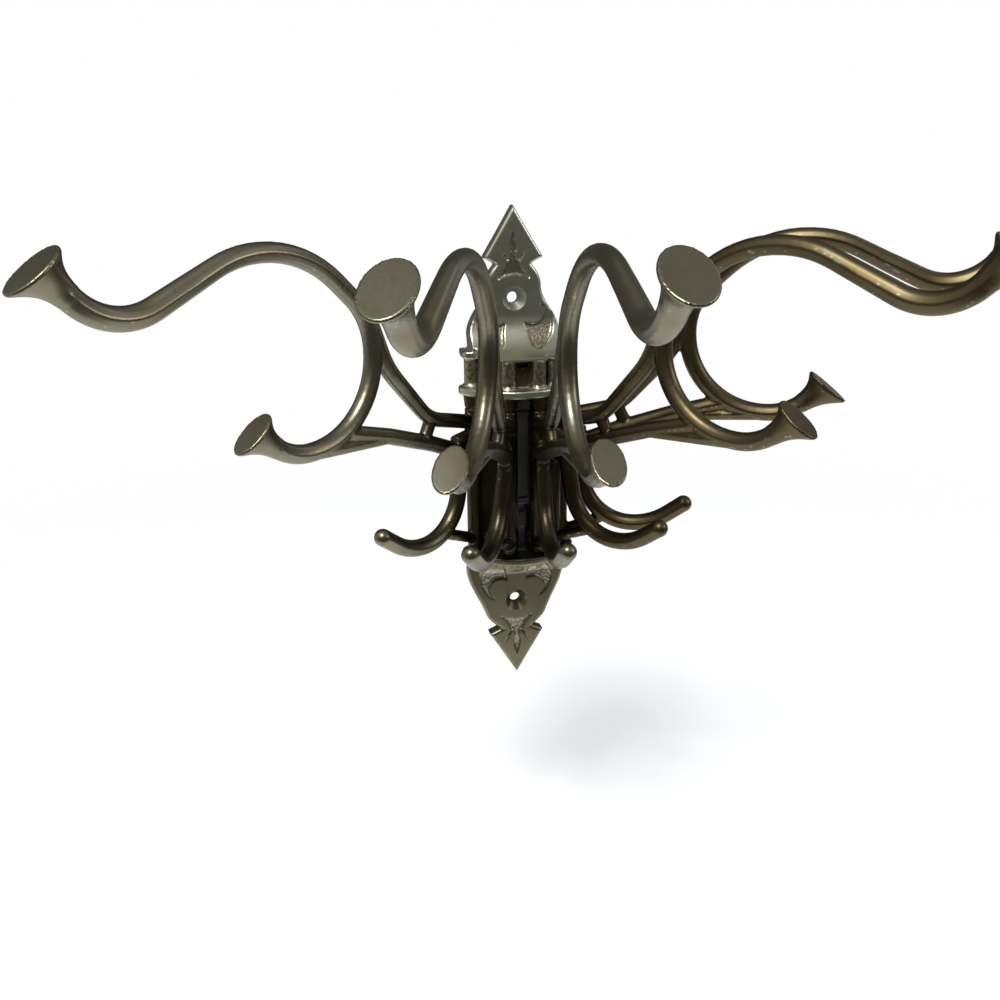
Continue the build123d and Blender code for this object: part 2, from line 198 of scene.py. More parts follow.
class SharedEffects:
    """Node groups that the finishes share: casting grain, wear, painted corner shade with grime, painted shade
    round the hub, tarnish and rub marks.
    """

    def __init__(self) -> None:
        """Builds each group once."""
        self.grain = self._grain()
        self.wear = self._wear()
        self.shade_and_grime = self._shade_and_grime()
        self.tarnish = self._tarnish()
        self.rub = self._rub()
        self.hub = self._hub()

    def _hub(self) -> bpy.types.NodeTree:
        """Painted shade round the pivots, darker towards the hub.

        Returns:
            The group, which puts out a mask.
        """
        tree, g, given, out = group_tree(
            "hub_painted_shade",
            {"Vector": None, "Near": 0.016, "Far": 0.042},
            {"Mask": "NodeSocketFloat"},
        )
        flat = g.add("ShaderNodeVectorMath", {0: given["Vector"], 1: (1.0, 1.0, 0.0)}, operation="MULTIPLY")
        shifted = g.add("ShaderNodeVectorMath", {0: flat.outputs[0], 1: (0.0, 0.009, 0.0)}, operation="ADD")
        away = g.add("ShaderNodeVectorMath", {0: shifted.outputs[0]}, operation="LENGTH").outputs["Value"]
        noise = g.noise(given["Vector"], 160.0, 3.0, 0.6)
        ragged = g.math("ADD", away, g.spread(noise, 0.2, 0.8, -0.006, 0.006))
        mask = g.spread(ragged, given["Near"], given["Far"], 1.0, 0.0)
        g.tree.links.new(mask, out.inputs["Mask"])
        return tree

    def _grain(self) -> bpy.types.NodeTree:
        """Pebbled skin that sand leaves on a casting.

        Returns:
            The group, which puts out a height and a mask of its peaks.
        """
        tree, g, given, out = group_tree(
            "casting_grain",
            {"Vector": None, "Grains per metre": 2600.0, "Coarseness": 0.5},
            {"Height": "NodeSocketFloat", "Mask": "NodeSocketFloat"},
        )
        cells = g.add(
            "ShaderNodeTexVoronoi",
            {"Vector": given["Vector"], "Scale": given["Grains per metre"]},
            feature="SMOOTH_F1",
        )
        noise = g.noise(given["Vector"], given["Grains per metre"], 3.0, 0.6)
        pebble = g.math("SUBTRACT", 1.0, cells.outputs["Distance"])
        blend = g.math("MULTIPLY", pebble, given["Coarseness"])
        rest = g.math("MULTIPLY", noise, g.math("SUBTRACT", 1.0, given["Coarseness"]))
        height = g.math("ADD", blend, rest)
        g.tree.links.new(height, out.inputs["Height"])
        g.tree.links.new(g.spread(height, 0.45, 0.7), out.inputs["Mask"])
        return tree

    def _wear(self) -> bpy.types.NodeTree:
        """Polish on convex edges, broken up by noise.

        Returns:
            The group, which puts out a mask.
        """
        tree, g, given, out = group_tree(
            "edge_polish",
            {"Vector": None, "Start": 0.55, "Full": 0.65, "Break up": 0.4},
            {"Mask": "NodeSocketFloat"},
        )
        point = g.add("ShaderNodeNewGeometry").outputs["Pointiness"]
        noise = g.noise(given["Vector"], 320.0, 4.0, 0.65)
        edge = g.spread(point, given["Start"], given["Full"])
        gaps = g.spread(noise, 0.35, 0.65)
        kept = g.math("SUBTRACT", 1.0, g.math("MULTIPLY", gaps, given["Break up"]))
        g.tree.links.new(g.math("MULTIPLY", edge, kept, clamp=True), out.inputs["Mask"])
        return tree

    def _shade_and_grime(self) -> bpy.types.NodeTree:
        """Painted shade with grime, from ambient occlusion: darkest in corners and between close walls.

        Returns:
            The group, which puts out a mask.
        """
        tree, g, given, out = group_tree(
            "corner_shade_and_grime",
            {"Vector": None, "Reach": 0.004, "Amount": 1.0},
            {"Mask": "NodeSocketFloat"},
        )
        shade = g.add("ShaderNodeAmbientOcclusion", {"Distance": given["Reach"]}, samples=8, only_local=True)
        noise = g.noise(given["Vector"], 450.0, 4.0, 0.6)
        hidden = g.math("SUBTRACT", 1.0, shade.outputs["AO"])
        ragged = g.math("MULTIPLY", hidden, g.spread(noise, 0.2, 0.8, 0.7, 1.3))
        soft = g.spread(ragged, 0.12, 0.75)
        g.tree.links.new(g.math("MULTIPLY", soft, given["Amount"], clamp=True), out.inputs["Mask"])
        return tree

    def _tarnish(self) -> bpy.types.NodeTree:
        """Cloudy change of tone from place to place.

        Returns:
            The group, which puts out a mask of large clouds and a fine one.
        """
        tree, g, given, out = group_tree(
            "tarnish_clouds",
            {"Vector": None, "Clouds per metre": 90.0, "Low": 0.35, "High": 0.65},
            {"Mask": "NodeSocketFloat", "Fine": "NodeSocketFloat"},
        )
        big = g.add(
            "ShaderNodeTexNoise",
            {
                "Vector": given["Vector"],
                "Scale": given["Clouds per metre"],
                "Detail": 5.0,
                "Roughness": 0.55,
                "Distortion": 0.4,
            },
        )
        small = g.noise(given["Vector"], 1400.0, 3.0, 0.6)
        mask = g.spread(big.outputs["Fac"], given["Low"], given["High"])
        g.tree.links.new(mask, out.inputs["Mask"])
        g.tree.links.new(small, out.inputs["Fine"])
        return tree

    def _rub(self) -> bpy.types.NodeTree:
        """Fine rubbing marks, long one way.

        Returns:
            The group, which puts out a height.
        """
        tree, g, given, out = group_tree(
            "rub_marks",
            {"Vector": None, "Marks per metre": 3000.0},
            {"Height": "NodeSocketFloat"},
        )
        stretched = g.add(
            "ShaderNodeMapping",
            {"Vector": given["Vector"], "Scale": (1.0, 1.0, 0.12), "Rotation": (0.3, 0.2, 0.0)},
        )
        noise = g.noise(stretched.outputs[0], given["Marks per metre"], 2.0, 0.5)
        g.tree.links.new(noise, out.inputs["Height"])
        return tree


@dataclass(frozen=True)
class CastNickel:
    """Aged nickel over cast metal, in one of its states of wear; some copies are lit and shaded copies, with
    painted light and shade.
    """

    name: str
    base: COLOUR = (0.205, 0.196, 0.148, 1.0)
    worn: COLOUR = (0.46, 0.44, 0.37, 1.0)
    tinted: COLOUR = (0.19, 0.16, 0.09, 1.0)
    # tone and amount of the painted shade round the hub
    hub_shade_tone: COLOUR = (0.045, 0.034, 0.018, 1.0)
    hub_painted_shade: float = 0.0
    # dark tone of the painted corner shade with grime
    shade_and_dirt_tone: COLOUR = (0.022, 0.018, 0.011, 1.0)
    tint_amount: float = 0.6
    wear_amount: float = 0.5
    shade_and_grime_amount: float = 0.9
    shade_and_grime_reach: float = 0.004
    roughness: float = 0.34
    grain_shine: float = 0.0
    grain_height: float = 0.00002
    grain_strength: float = 0.05
    grain_density: float = 2600.0
    coarseness: float = 0.4
    rub_share: float = 0.1

    def build(self, effects: SharedEffects) -> bpy.types.Material:
        """Makes the material.

        Args:
            effects: the shared node groups.

        Returns:
            The material.
        """
        material = bpy.data.materials.new(self.name)
        material.use_nodes = True
        tree = material.node_tree
        tree.nodes.clear()
        g = Graph(tree)
        place = g.add("ShaderNodeTexCoord").outputs["Object"]

        def effect(group: bpy.types.NodeTree, **values: float) -> bpy.types.Node:
            """Places a shared group with its own values.

            Args:
                group: the shared group.
                values: input names, with _ for a space, to their values.

            Returns:
                The group's node.
            """
            node = g.add("ShaderNodeGroup", node_tree=group)
            tree.links.new(place, node.inputs["Vector"])
            for label, value in values.items():
                node.inputs[label.replace("_", " ")].default_value = value
            return node

        grain = effect(effects.grain, Grains_per_metre=self.grain_density, Coarseness=self.coarseness)
        wear = effect(effects.wear)
        # painted shade with grime: the ambient-occlusion mask darkens corners towards a dark tone, raises
        # roughness and lowers metallic
        shade_and_grime = effect(effects.shade_and_grime, Reach=self.shade_and_grime_reach, Amount=self.shade_and_grime_amount)
        clouds = effect(effects.tarnish)
        rub = effect(effects.rub)
        tint = g.math("MULTIPLY", clouds.outputs["Mask"], self.tint_amount)
        tone = g.mix(tint, self.base, self.tinted)
        speckle = g.spread(clouds.outputs["Fine"], 0.3, 0.7, 0.985, 1.015)
        tone = g.mix(1.0, tone, speckle, "MULTIPLY")
        # painted shade round the hub: darkens the tone near the pivots
        hub = effect(effects.hub, Near=0.018, Far=0.055)
        tone = g.mix(g.math("MULTIPLY", hub.outputs["Mask"], self.hub_painted_shade), tone, self.hub_shade_tone)
        polish = g.math("MULTIPLY", wear.outputs["Mask"], self.wear_amount)
        tone = g.mix(polish, tone, self.worn)
        tone = g.mix(g.math("MULTIPLY", grain.outputs["Mask"], self.grain_shine), tone, self.worn)
        colour = g.mix(shade_and_grime.outputs["Mask"], tone, self.shade_and_dirt_tone)
        rough = g.math("ADD", self.roughness, g.spread(clouds.outputs["Fine"], 0.3, 0.7, -0.012, 0.012))
        rough = g.math("SUBTRACT", rough, g.math("MULTIPLY", polish, 0.12))
        rough = g.math("ADD", rough, g.math("MULTIPLY", shade_and_grime.outputs["Mask"], 0.3), clamp=True)
        metal = g.math("SUBTRACT", 1.0, g.math("MULTIPLY", shade_and_grime.outputs["Mask"], 0.6))
        lines = g.math("MULTIPLY", rub.outputs["Height"], self.rub_share)
        height = g.math("ADD", grain.outputs["Height"], lines)
        bump = g.add(
            "ShaderNodeBump",
            {"Strength": self.grain_strength, "Distance": self.grain_height, "Height": height},
        )
        shader = g.add(
            "ShaderNodeBsdfPrincipled",
            {"Base Color": colour, "Metallic": metal, "Roughness": rough, "Normal": bump.outputs[0]},
        )
        end = g.add("ShaderNodeOutputMaterial")
        tree.links.new(shader.outputs[0], end.inputs["Surface"])
        return material


# ------------------------------------------------------------------ modelling


def portion(value: float, start: float, length: float) -> float:
    """Tells how far a value in metres is along a stretch in millimetres, from 0 to 1."""
    return min(1.0, max(0.0, (value - start * MM) / (length * MM)))


def object_mode_clear() -> None:
    """Leaves edit mode and deselects everything."""
    if bpy.context.object and bpy.context.object.mode != "OBJECT":
        bpy.ops.object.mode_set(mode="OBJECT")
    bpy.ops.object.select_all(action="DESELECT")


def select_only(*objects: bpy.types.Object) -> None:
    """Selects these objects, the last of them active."""
    object_mode_clear()
    for item in objects:
        item.select_set(True)
        bpy.context.view_layer.objects.active = item


def apply_place(item: bpy.types.Object) -> None:
    """Puts the object's place, turn and size into its mesh."""
    select_only(item)
    bpy.ops.object.transform_apply(location=True, rotation=True, scale=True)


def join(name: str, *objects: bpy.types.Object) -> bpy.types.Object:
    """Joins objects into one.

    Args:
        name: the joined object's name.
        objects: the objects; the first one stays.

    Returns:
        The joined object.
    """
    select_only(*reversed(objects))
    bpy.ops.object.join()
    joined = bpy.context.object
    joined.name = name
    return joined


def modifier(item: bpy.types.Object, kind: str, **settings) -> None:
    """Adds a modifier, sets it up and applies it.

    Args:
        item: the object.
        kind: Blender's name of the modifier type.
        settings: properties of the modifier.
    """
    select_only(item)
    bpy.ops.object.modifier_add(type=kind)
    added = item.modifiers[-1]
    for label, value in settings.items():
        setattr(added, label, value)
    bpy.ops.object.modifier_apply(modifier=added.name)


def close_ends() -> None:
    """Fills every open ring of the mesh in edit mode and turns all faces outwards."""
    bpy.ops.mesh.select_all(action="DESELECT")
    bpy.ops.mesh.select_non_manifold()
    bpy.ops.mesh.fill_holes(sides=0)
    bpy.ops.mesh.select_all(action="SELECT")
    bpy.ops.mesh.normals_make_consistent(inside=False)


def melt(item: bpy.types.Object, voxel: float, rounds: int) -> None:
    """Joins overlapping solids into one skin and softens it like a casting.

    Args:
        item: the object of overlapping closed solids.
        voxel: cell size in millimetres.
        rounds: smoothing rounds.
    """
    modifier(item, "REMESH", mode="VOXEL", voxel_size=voxel * MM, adaptivity=0.0)
    modifier(item, "SMOOTH", factor=0.5, iterations=rounds)


def flatten(item: bpy.types.Object, spot: tuple[float, float], tilt: float, half: float) -> None:
    """Trues up a flare's flat face after the melting.

    Args:
        item: the casting in its own plane.
        spot: the face's centre in the plane, in millimetres.
        tilt: the face's heading in degrees up from level.
        half: the face's half height.
    """
    centre = Vector((spot[0], 0.0, spot[1])) * MM
    normal = Vector((math.cos(math.radians(tilt)), 0.0, math.sin(math.radians(tilt))))
    for vertex in item.data.vertices:
        away = vertex.co - centre
        height = away.dot(normal)
        if abs(height) < 0.4 * MM and away.length < (half + 0.6) * MM:
            if vertex.normal.dot(normal) > 0.85:
                vertex.co = vertex.co - normal * height


def cut(item: bpy.types.Object, tool: bpy.types.Object, keep_common: bool = False) -> None:
    """Cuts a tool's volume out of an object, or keeps only what both share, and removes the tool.

    Args:
        item: the object.
        tool: the cutting tool.
        keep_common: whether what both share is kept.
    """
    operation = "INTERSECT" if keep_common else "DIFFERENCE"
    modifier(item, "BOOLEAN", operation=operation, solver="EXACT", object=tool)
    bpy.data.objects.remove(tool)


def cylinder(
    name: str, radius: float, spot: tuple[float, float], low: float, high: float, points: int = 28
) -> bpy.types.Object:
    """Upright cylinder.

    Args:
        name: the object's name.
        radius: its radius in millimetres.
        spot: x and y of its axis.
        low: height of its foot.
        high: height of its top.
        points: corners of its round.

    Returns:
        The cylinder.
    """
    object_mode_clear()
    bpy.ops.mesh.primitive_cylinder_add(
        vertices=points,
        radius=radius * MM,
        depth=(high - low) * MM,
        location=(spot[0] * MM, spot[1] * MM, (low + high) / 2 * MM),
    )
    item = bpy.context.object
    item.name = name
    apply_place(item)
    return item


def box(name: str, corner: tuple[float, float, float], far: tuple[float, float, float]) -> bpy.types.Object:
    """Makes a box between two corners.

    Args:
        name: the object's name.
        corner: one corner in millimetres.
        far: the opposite corner.

    Returns:
        The box.
    """
    object_mode_clear()
    middle = [(a + b) / 2 * MM for a, b in zip(corner, far)]
    bpy.ops.mesh.primitive_cube_add(size=1.0, location=middle)
    item = bpy.context.object
    item.name = name
    item.scale = [abs(b - a) * MM for a, b in zip(corner, far)]
    apply_place(item)
    return item


class View(Enum):
    """How a drawn outline stands in space: from its own x, y and depth to the frame's axes."""

    FRONT = Matrix(((1, 0, 0), (0, 0, -1), (0, 1, 0)))
    PLAN = Matrix(((1, 0, 0), (0, 1, 0), (0, 0, 1)))
    SIDE = Matrix(((0, 0, 1), (-1, 0, 0), (0, 1, 0)))


@dataclass(frozen=True)
class Outline:
    """Closed outline through points; a point with a third entry is a sharp corner."""

    points: POINTS
    view: View

    def solid(self, name: str, low: float, high: float, edge: float = 0.0) -> bpy.types.Object:
        """Draws the outline as a curve and gives it depth and rounded edges.

        Args:
            name: the object's name.
            low: where its depth starts, in millimetres.
            high: where its depth ends.
            edge: radius of the rounded edges.

        Returns:
            The closed mesh.
        """
        object_mode_clear()
        bpy.ops.curve.primitive_bezier_circle_add(radius=MM)
        item = bpy.context.object
        item.name = name
        curve = item.data
        curve.splines.clear()
        spline = curve.splines.new("BEZIER")
        spline.bezier_points.add(len(self.points) - 1)
        spline.use_cyclic_u = True
        for knot, point in zip(spline.bezier_points, self.points):
            knot.co = (point[0] * MM, point[1] * MM, 0.0)
            kind = "VECTOR" if len(point) > 2 else "AUTO"
            knot.handle_left_type = kind
            knot.handle_right_type = kind
        curve.dimensions = "2D"
        curve.fill_mode = "BOTH"
        curve.resolution_u = 6
        curve.extrude = ((high - low) / 2 - edge) * MM
        curve.bevel_depth = edge * MM
        curve.bevel_resolution = 2
        curve.offset = -edge * MM
        bpy.ops.object.convert(target="MESH")
        item = bpy.context.object
        stand = self.view.value.to_4x4() @ Matrix.Translation((0.0, 0.0, (low + high) / 2 * MM))
        item.matrix_world = stand
        apply_place(item)
        bpy.ops.object.mode_set(mode="EDIT")
        bpy.ops.mesh.select_all(action="SELECT")
        bpy.ops.mesh.remove_doubles(threshold=1e-6)
        bpy.ops.mesh.normals_make_consistent(inside=False)
        bpy.ops.object.mode_set(mode="OBJECT")
        return item


def both_hands(half: POINTS) -> POINTS:
    """Closes a right half, listed from the middle outwards and back to it, with its mirror image."""
    left = tuple((-point[0], *point[1:]) for point in reversed(half) if abs(point[0]) > 1e-6)
    return half + left


# ------------------------------------------------------------------------ arms


@dataclass(frozen=True)
class Run:
    """Straight stretch of a rod, with the rod's radius at its end."""

    length: float
    radius: float


@dataclass(frozen=True)
class Bend:
    """Bend of a rod to a new heading, in degrees up from level."""

    bend_radius: float
    heading: float
    radius: float


@dataclass(frozen=True)
class Section:
    """One ring of a rod: centre, heading and half sizes in the arm's own plane."""

    r: float
    z: float
    heading: float
    tall: float
    wide: float


def loft_rings(name: str, rings: list[Section], points: int, ridge: float = 1.0) -> bpy.types.Object:
    """Extrudes one ring from section to section, turning and resizing it on the way.

    Args:
        name: the object's name.
        rings: the sections in order.
        points: points of the ring, a multiple of four.
        ridge: how far the two side points stand out, for a parting line.

    Returns:
        The closed solid, across the plane y = 0.
    """
    first = rings[0]
    object_mode_clear()
    bpy.ops.mesh.primitive_circle_add(
        vertices=points, radius=MM, fill_type="NOTHING", rotation=(0.0, math.pi / 2, 0.0)
    )
    item = bpy.context.object
    item.name = name
    apply_place(item)
    bpy.ops.object.mode_set(mode="EDIT")
    if ridge > 1.0:
        bpy.ops.mesh.select_mode(type="VERT")
        bpy.ops.mesh.select_all(action="DESELECT")
        ring = bmesh.from_edit_mesh(item.data)
        for vertex in ring.verts:
            vertex.select_set(abs(vertex.co.y) > 0.98 * MM)
        ring.select_flush(True)
        bpy.ops.transform.resize(value=(1.0, ridge, 1.0), center_override=(0.0, 0.0, 0.0))
    bpy.ops.mesh.select_all(action="SELECT")
    bpy.ops.transform.resize(value=(1.0, first.wide, first.tall), center_override=(0.0, 0.0, 0.0))
    turn_ring(first.heading, (0.0, 0.0, 0.0))
    bpy.ops.transform.translate(value=(first.r * MM, 0.0, first.z * MM))
    for here, ahead in zip(rings, rings[1:]):
        centre = (ahead.r * MM, 0.0, ahead.z * MM)
        step = ((ahead.r - here.r) * MM, 0.0, (ahead.z - here.z) * MM)
        bpy.ops.mesh.extrude_region_move(TRANSFORM_OT_translate={"value": step})
        if abs(ahead.tall - here.tall) > 1e-4 or abs(ahead.wide - here.wide) > 1e-4:
            turn_ring(-here.heading, centre)
            bpy.ops.transform.resize(
                value=(1.0, ahead.wide / here.wide, ahead.tall / here.tall), center_override=centre
            )
            turn_ring(ahead.heading, centre)
        elif abs(ahead.heading - here.heading) > 1e-4:
            turn_ring(ahead.heading - here.heading, centre)
    close_ends()
    bpy.ops.object.mode_set(mode="OBJECT")
    return item


def turn_ring(degrees: float, centre: tuple[float, float, float]) -> None:
    """Turns the selected ring up from level about its centre."""
    if abs(degrees) > 1e-5:
        bpy.ops.transform.rotate(value=math.radians(degrees), orient_axis="Y", center_override=centre)


@dataclass(frozen=True)
class Rod:
    """A bent rod whose radius may change along straight runs and bends."""

    start: tuple[float, float]
    heading: float
    radius: float
    steps: tuple[Run | Bend, ...]
    ridge: float = 1.10

    def rings(self) -> list[Section]:
        """Follows the steps.

        Returns:
            The rod's sections, close enough for smooth bends.
        """
        r, z = self.start
        heading, radius = self.heading, self.radius
        rings = [Section(r, z, heading, radius, radius)]
        for step in self.steps:
            if isinstance(step, Run):
                count = max(1, round(step.length / 2.5))
                for k in range(1, count + 1):
                    far = step.length * k / count
                    now = radius + (step.radius - radius) * k / count
                    along = math.radians(heading)
                    spot = (r + far * math.cos(along), z + far * math.sin(along))
                    rings.append(Section(*spot, heading, now, now))
            else:
                side = 1.0 if step.heading > heading else -1.0
                facing = math.radians(heading + 90.0 * side)
                centre_r = r + step.bend_radius * math.cos(facing)
                centre_z = z + step.bend_radius * math.sin(facing)
                count = max(3, math.ceil(abs(step.heading - heading) / 6.0))
                for k in range(1, count + 1):
                    now_heading = heading + (step.heading - heading) * k / count
                    now = radius + (step.radius - radius) * k / count
                    angle = math.radians(now_heading - 90.0 * side)
                    rings.append(
                        Section(
                            centre_r + step.bend_radius * math.cos(angle),
                            centre_z + step.bend_radius * math.sin(angle),
                            now_heading,
                            now,
                            now,
                        )
                    )
            r, z, heading, radius = rings[-1].r, rings[-1].z, rings[-1].heading, step.radius
        return rings

    def model(self, name: str) -> bpy.types.Object:
        """Extrudes a ridged ring along the rod."""
        return loft_rings(name, self.rings(), 20, self.ridge)


@dataclass(frozen=True)
class Flare:
    """Trumpet on a rod's end, which bends over to a flat oval face."""

    length: float
    lift: float
    tilt: float
    half_height: float
    half_width: float
    rim: float = 0.7
    overlap: float = 1.4

    def face(self, rod: Rod) -> tuple[float, float, float, float]:
        """Works out the flat face.

        Args:
            rod: the rod that the flare ends.

        Returns:
            The face's centre in the arm's plane, its tilt and its half height.
        """
        end = rod.rings()[-1]
        lift = math.radians(self.lift)
        r, z = end.r + self.length * math.cos(lift), end.z + self.length * math.sin(lift)
        return r, z, self.tilt, self.half_height

    def model(self, name: str, rod: Rod) -> bpy.types.Object:
        """Opens a ring from the rod's end to the face.

        Args:
            name: the object's name.
            rod: the rod that the flare ends.

        Returns:
            The closed flare.
        """
        end = rod.rings()[-1]
        forward, lift = math.radians(end.heading), math.radians(self.lift)
        neck = Vector((end.r - self.overlap * math.cos(forward), end.z - self.overlap * math.sin(forward)))
        face = Vector((end.r + self.length * math.cos(lift), end.z + self.length * math.sin(lift)))
        middle = neck + Vector((math.cos(forward), math.sin(forward))) * ((face - neck).length / 2)
        tip = math.radians(self.tilt)
        back = Vector((math.cos(tip), math.sin(tip))) * self.rim
        shares = (0.0, 0.18, 0.34, 0.48, 0.60, 0.70, 0.79, 0.87, 0.94, 1.0)
        opened = (0.0, 0.05, 0.125, 0.225, 0.35, 0.48, 0.62, 0.76, 0.89, 1.0)
        rings = []
        for share, spread in zip(shares, opened):
            spot = neck * (1 - share) ** 2 + middle * (2 * share * (1 - share)) + (face - back) * share**2
            rings.append(
                Section(
                    spot.x,
                    spot.y,
                    end.heading + (self.tilt - end.heading) * share,
                    end.tall + (self.half_height - end.tall) * spread,
                    end.wide + (self.half_width - end.wide) * spread,
                )
            )
        rings.append(Section(face.x, face.y, self.tilt, self.half_height, self.half_width))
        return loft_rings(name, rings, 40)


@dataclass(frozen=True)
class ArmPlace:
    """Where one arm hangs, how it leans and how its castings differ, in degrees and millimetres."""

    name: str
    side: int
    station: int
    azimuth: float
    lean: float
    hook_twist: float
    prong_drop: float = 0.0
    lift: float = 0.0


ARMS = (
    ArmPlace("arm_far_left", -1, 2, 143.9, -1.5, 0.0),
    ArmPlace("arm_front_left", -1, 0, 113.9, 2.8, 4.5, prong_drop=2.0),
    ArmPlace("arm_front_right", 1, 0, 93.5, -0.4, 0.0, prong_drop=1.4, lift=0.7),
    ArmPlace("arm_right", 1, 1, 54.0, 0.0, 0.0),
    ArmPlace("arm_far_right", 1, 2, 27.9, 0.0, 0.0, lift=-0.8),
)


@dataclass
class ArmCasting:
    """The arm casting, modelled once in its own plane and copied to each pivot."""

    ring: float = 2.55
    trough: float = 2.85
    strut: float = 2.22
    hook: float = 2.58
    barrel_radius: float = 2.4
    barrel_top: float = 17.3
    barrel_bottom: float = -28.4
    bore_radius: float = 1.26
    voxel: float = 0.32
    hook_top: float = 6.0
    hook_fade: float = 8.0
    twist_reach: float = 9.0
    lift_start: float = 30.0
    lift_length: float = 60.0
    lift_floor: float = 40.0
    lift_fade: float = 15.0
    prong_band: tuple[float, float] = (10.0, 40.0)
    prong_start: float = 60.0
    prong_fade: float = 14.0
    faces: list[tuple[float, float, float, float]] = field(default_factory=list)

    def rods(self) -> list[bpy.types.Object]:
        """Models the rods, struts, webs and flares.

        Returns:
            The separate parts, in the plane y = 0 with the pivot on the z axis.
        """
        foot = (61.4, 17.2)
        upper_arm = Rod(
            foot,
            180.0,
            self.ring,
            (
                Bend(23.4, 90.0, self.ring),
                Run(0.4, self.ring),
                Bend(19.3, 44.0, self.ring),
                Run(6.4, self.ring),
                Bend(32.3, 0.0, self.ring),
                Run(0.5, self.ring),
                Bend(30.4, -24.1, self.ring),
                Run(17.6, self.trough),
                Bend(15.8, 47.5, self.trough + 0.06),
                Run(2.2, self.trough + 0.12),
            ),
        )
        prong = Rod(
            foot,
            0.0,
            self.ring,
            (Run(0.5, self.ring), Bend(16.5, 37.0, self.ring + 0.1), Run(0.8, self.ring + 0.15)),
        )
        upper_strut = Rod(
            (0.0, 12.9),
            13.4,
            self.strut,
            (
                Run(14.3, self.strut),
                Bend(14.0, 48.7, self.strut),
                Run(14.1, 2.45),
                Bend(25.0, 70.7, 2.5),
                Run(7.8, 2.4),
            ),
        )
        lower_strut = Rod((3.0, 3.6), 24.8, self.strut + 0.2, (Bend(255.0, 13.6, self.strut + 0.1),))
        hook = Rod(
            (4.9, 4.0),
            -78.0,
            self.hook,
            (
                Run(12.7, self.hook),
                Bend(15.4, 0.0, self.hook),
                Bend(19.4, 36.5, self.hook),
                Run(6.2, self.hook),
            ),
        )
        spreader = Rod((17.3, 17.6), -61.0, 1.95, (Run(8.4, 1.95),), ridge=1.0)
        heel_web = Rod((0.0, -25.2), 22.6, 1.75, (Run(14.1, 1.75),))
        ring_web = Rod((33.0, 15.3), 3.4, 1.95, (Run(26.0, 2.15),))
        webs = [
            Rod((0.0, height), heading, 2.1, (Run(8.0, 2.1),))
            for height, heading in ((2.0, 8.0), (5.6, 0.0), (9.2, -8.0))
        ]
        top = Flare(7.7, 42.5, 53.0, 7.4, 5.4)
        middle = Flare(8.0, 38.0, 51.0, 6.6, 4.15)
        self.faces = [top.face(upper_arm), middle.face(prong)]
        parts = [
            upper_arm.model("upper_arm"),
            prong.model("middle_prong"),
            upper_strut.model("upper_strut"),
            lower_strut.model("lower_strut"),
            hook.model("lower_hook"),
            spreader.model("spreader"),
            heel_web.model("heel_web"),
            ring_web.model("ring_web"),
            *(web.model("hub_web") for web in webs),
            top.model("top_flare", upper_arm),
            middle.model("middle_flare", prong),
            self._tip(hook.rings()[-1]),
            self._barrel(),
        ]
        return parts

    def _tip(self, end: Section) -> bpy.types.Object:
        """Makes the rounded end of the lower hook.

        Args:
            end: the hook's last ring.

        Returns:
            The tip.
        """
        object_mode_clear()
        bpy.ops.mesh.primitive_uv_sphere_add(
            segments=24, ring_count=14, radius=2.63 * MM, location=(end.r * MM, 0.0, end.z * MM)
        )
        tip = bpy.context.object
        apply_place(tip)
        return tip

    def _barrel(self) -> bpy.types.Object:
        """Makes the hub barrel, a little swollen where the struts leave it.

        Returns:
            The barrel, still without its bore.
        """
        object_mode_clear()
        bpy.ops.mesh.primitive_circle_add(vertices=28, radius=self.barrel_radius * MM, fill_type="NOTHING")
        barrel = bpy.context.object
        barrel.name = "barrel"
        bpy.ops.object.mode_set(mode="EDIT")
        bpy.ops.mesh.select_all(action="SELECT")
        bpy.ops.transform.translate(value=(0, 0, self.barrel_bottom * MM))
        heights = (self.barrel_bottom, -24.0, -8.0, -2.0, 6.0, 12.5, 15.5, self.barrel_top)
        sizes = (1.0, 1.0, 0.97, 1.08, 1.1, 1.06, 1.0, 1.0)
        for z0, z1, s0, s1 in zip(heights, heights[1:], sizes, sizes[1:]):
            bpy.ops.mesh.extrude_region_move(TRANSFORM_OT_translate={"value": (0, 0, (z1 - z0) * MM)})
            bpy.ops.transform.resize(value=(s1 / s0, s1 / s0, 1.0), center_override=(0, 0, 0))
        close_ends()
        bpy.ops.object.mode_set(mode="OBJECT")
        apply_place(barrel)
        return barrel

    def fuse(self, parts: list[bpy.types.Object]) -> bpy.types.Object:
        """Melts the parts into one casting with soft inner corners and bores it.

        Args:
            parts: the separate parts.

        Returns:
            The casting in its own plane.
        """
        casting = join("arm_master", *parts)
        melt(casting, self.voxel, 7)
        for r, z, tilt, half in self.faces:
            flatten(casting, (r, z), tilt, half)
        bore = cylinder("bore", self.bore_radius, (0.0, 0.0), -30.0, 19.0, 24)
        cut(casting, bore)
        select_only(casting)
        bpy.ops.object.shade_smooth_by_angle(angle=math.radians(40.0))
        return casting

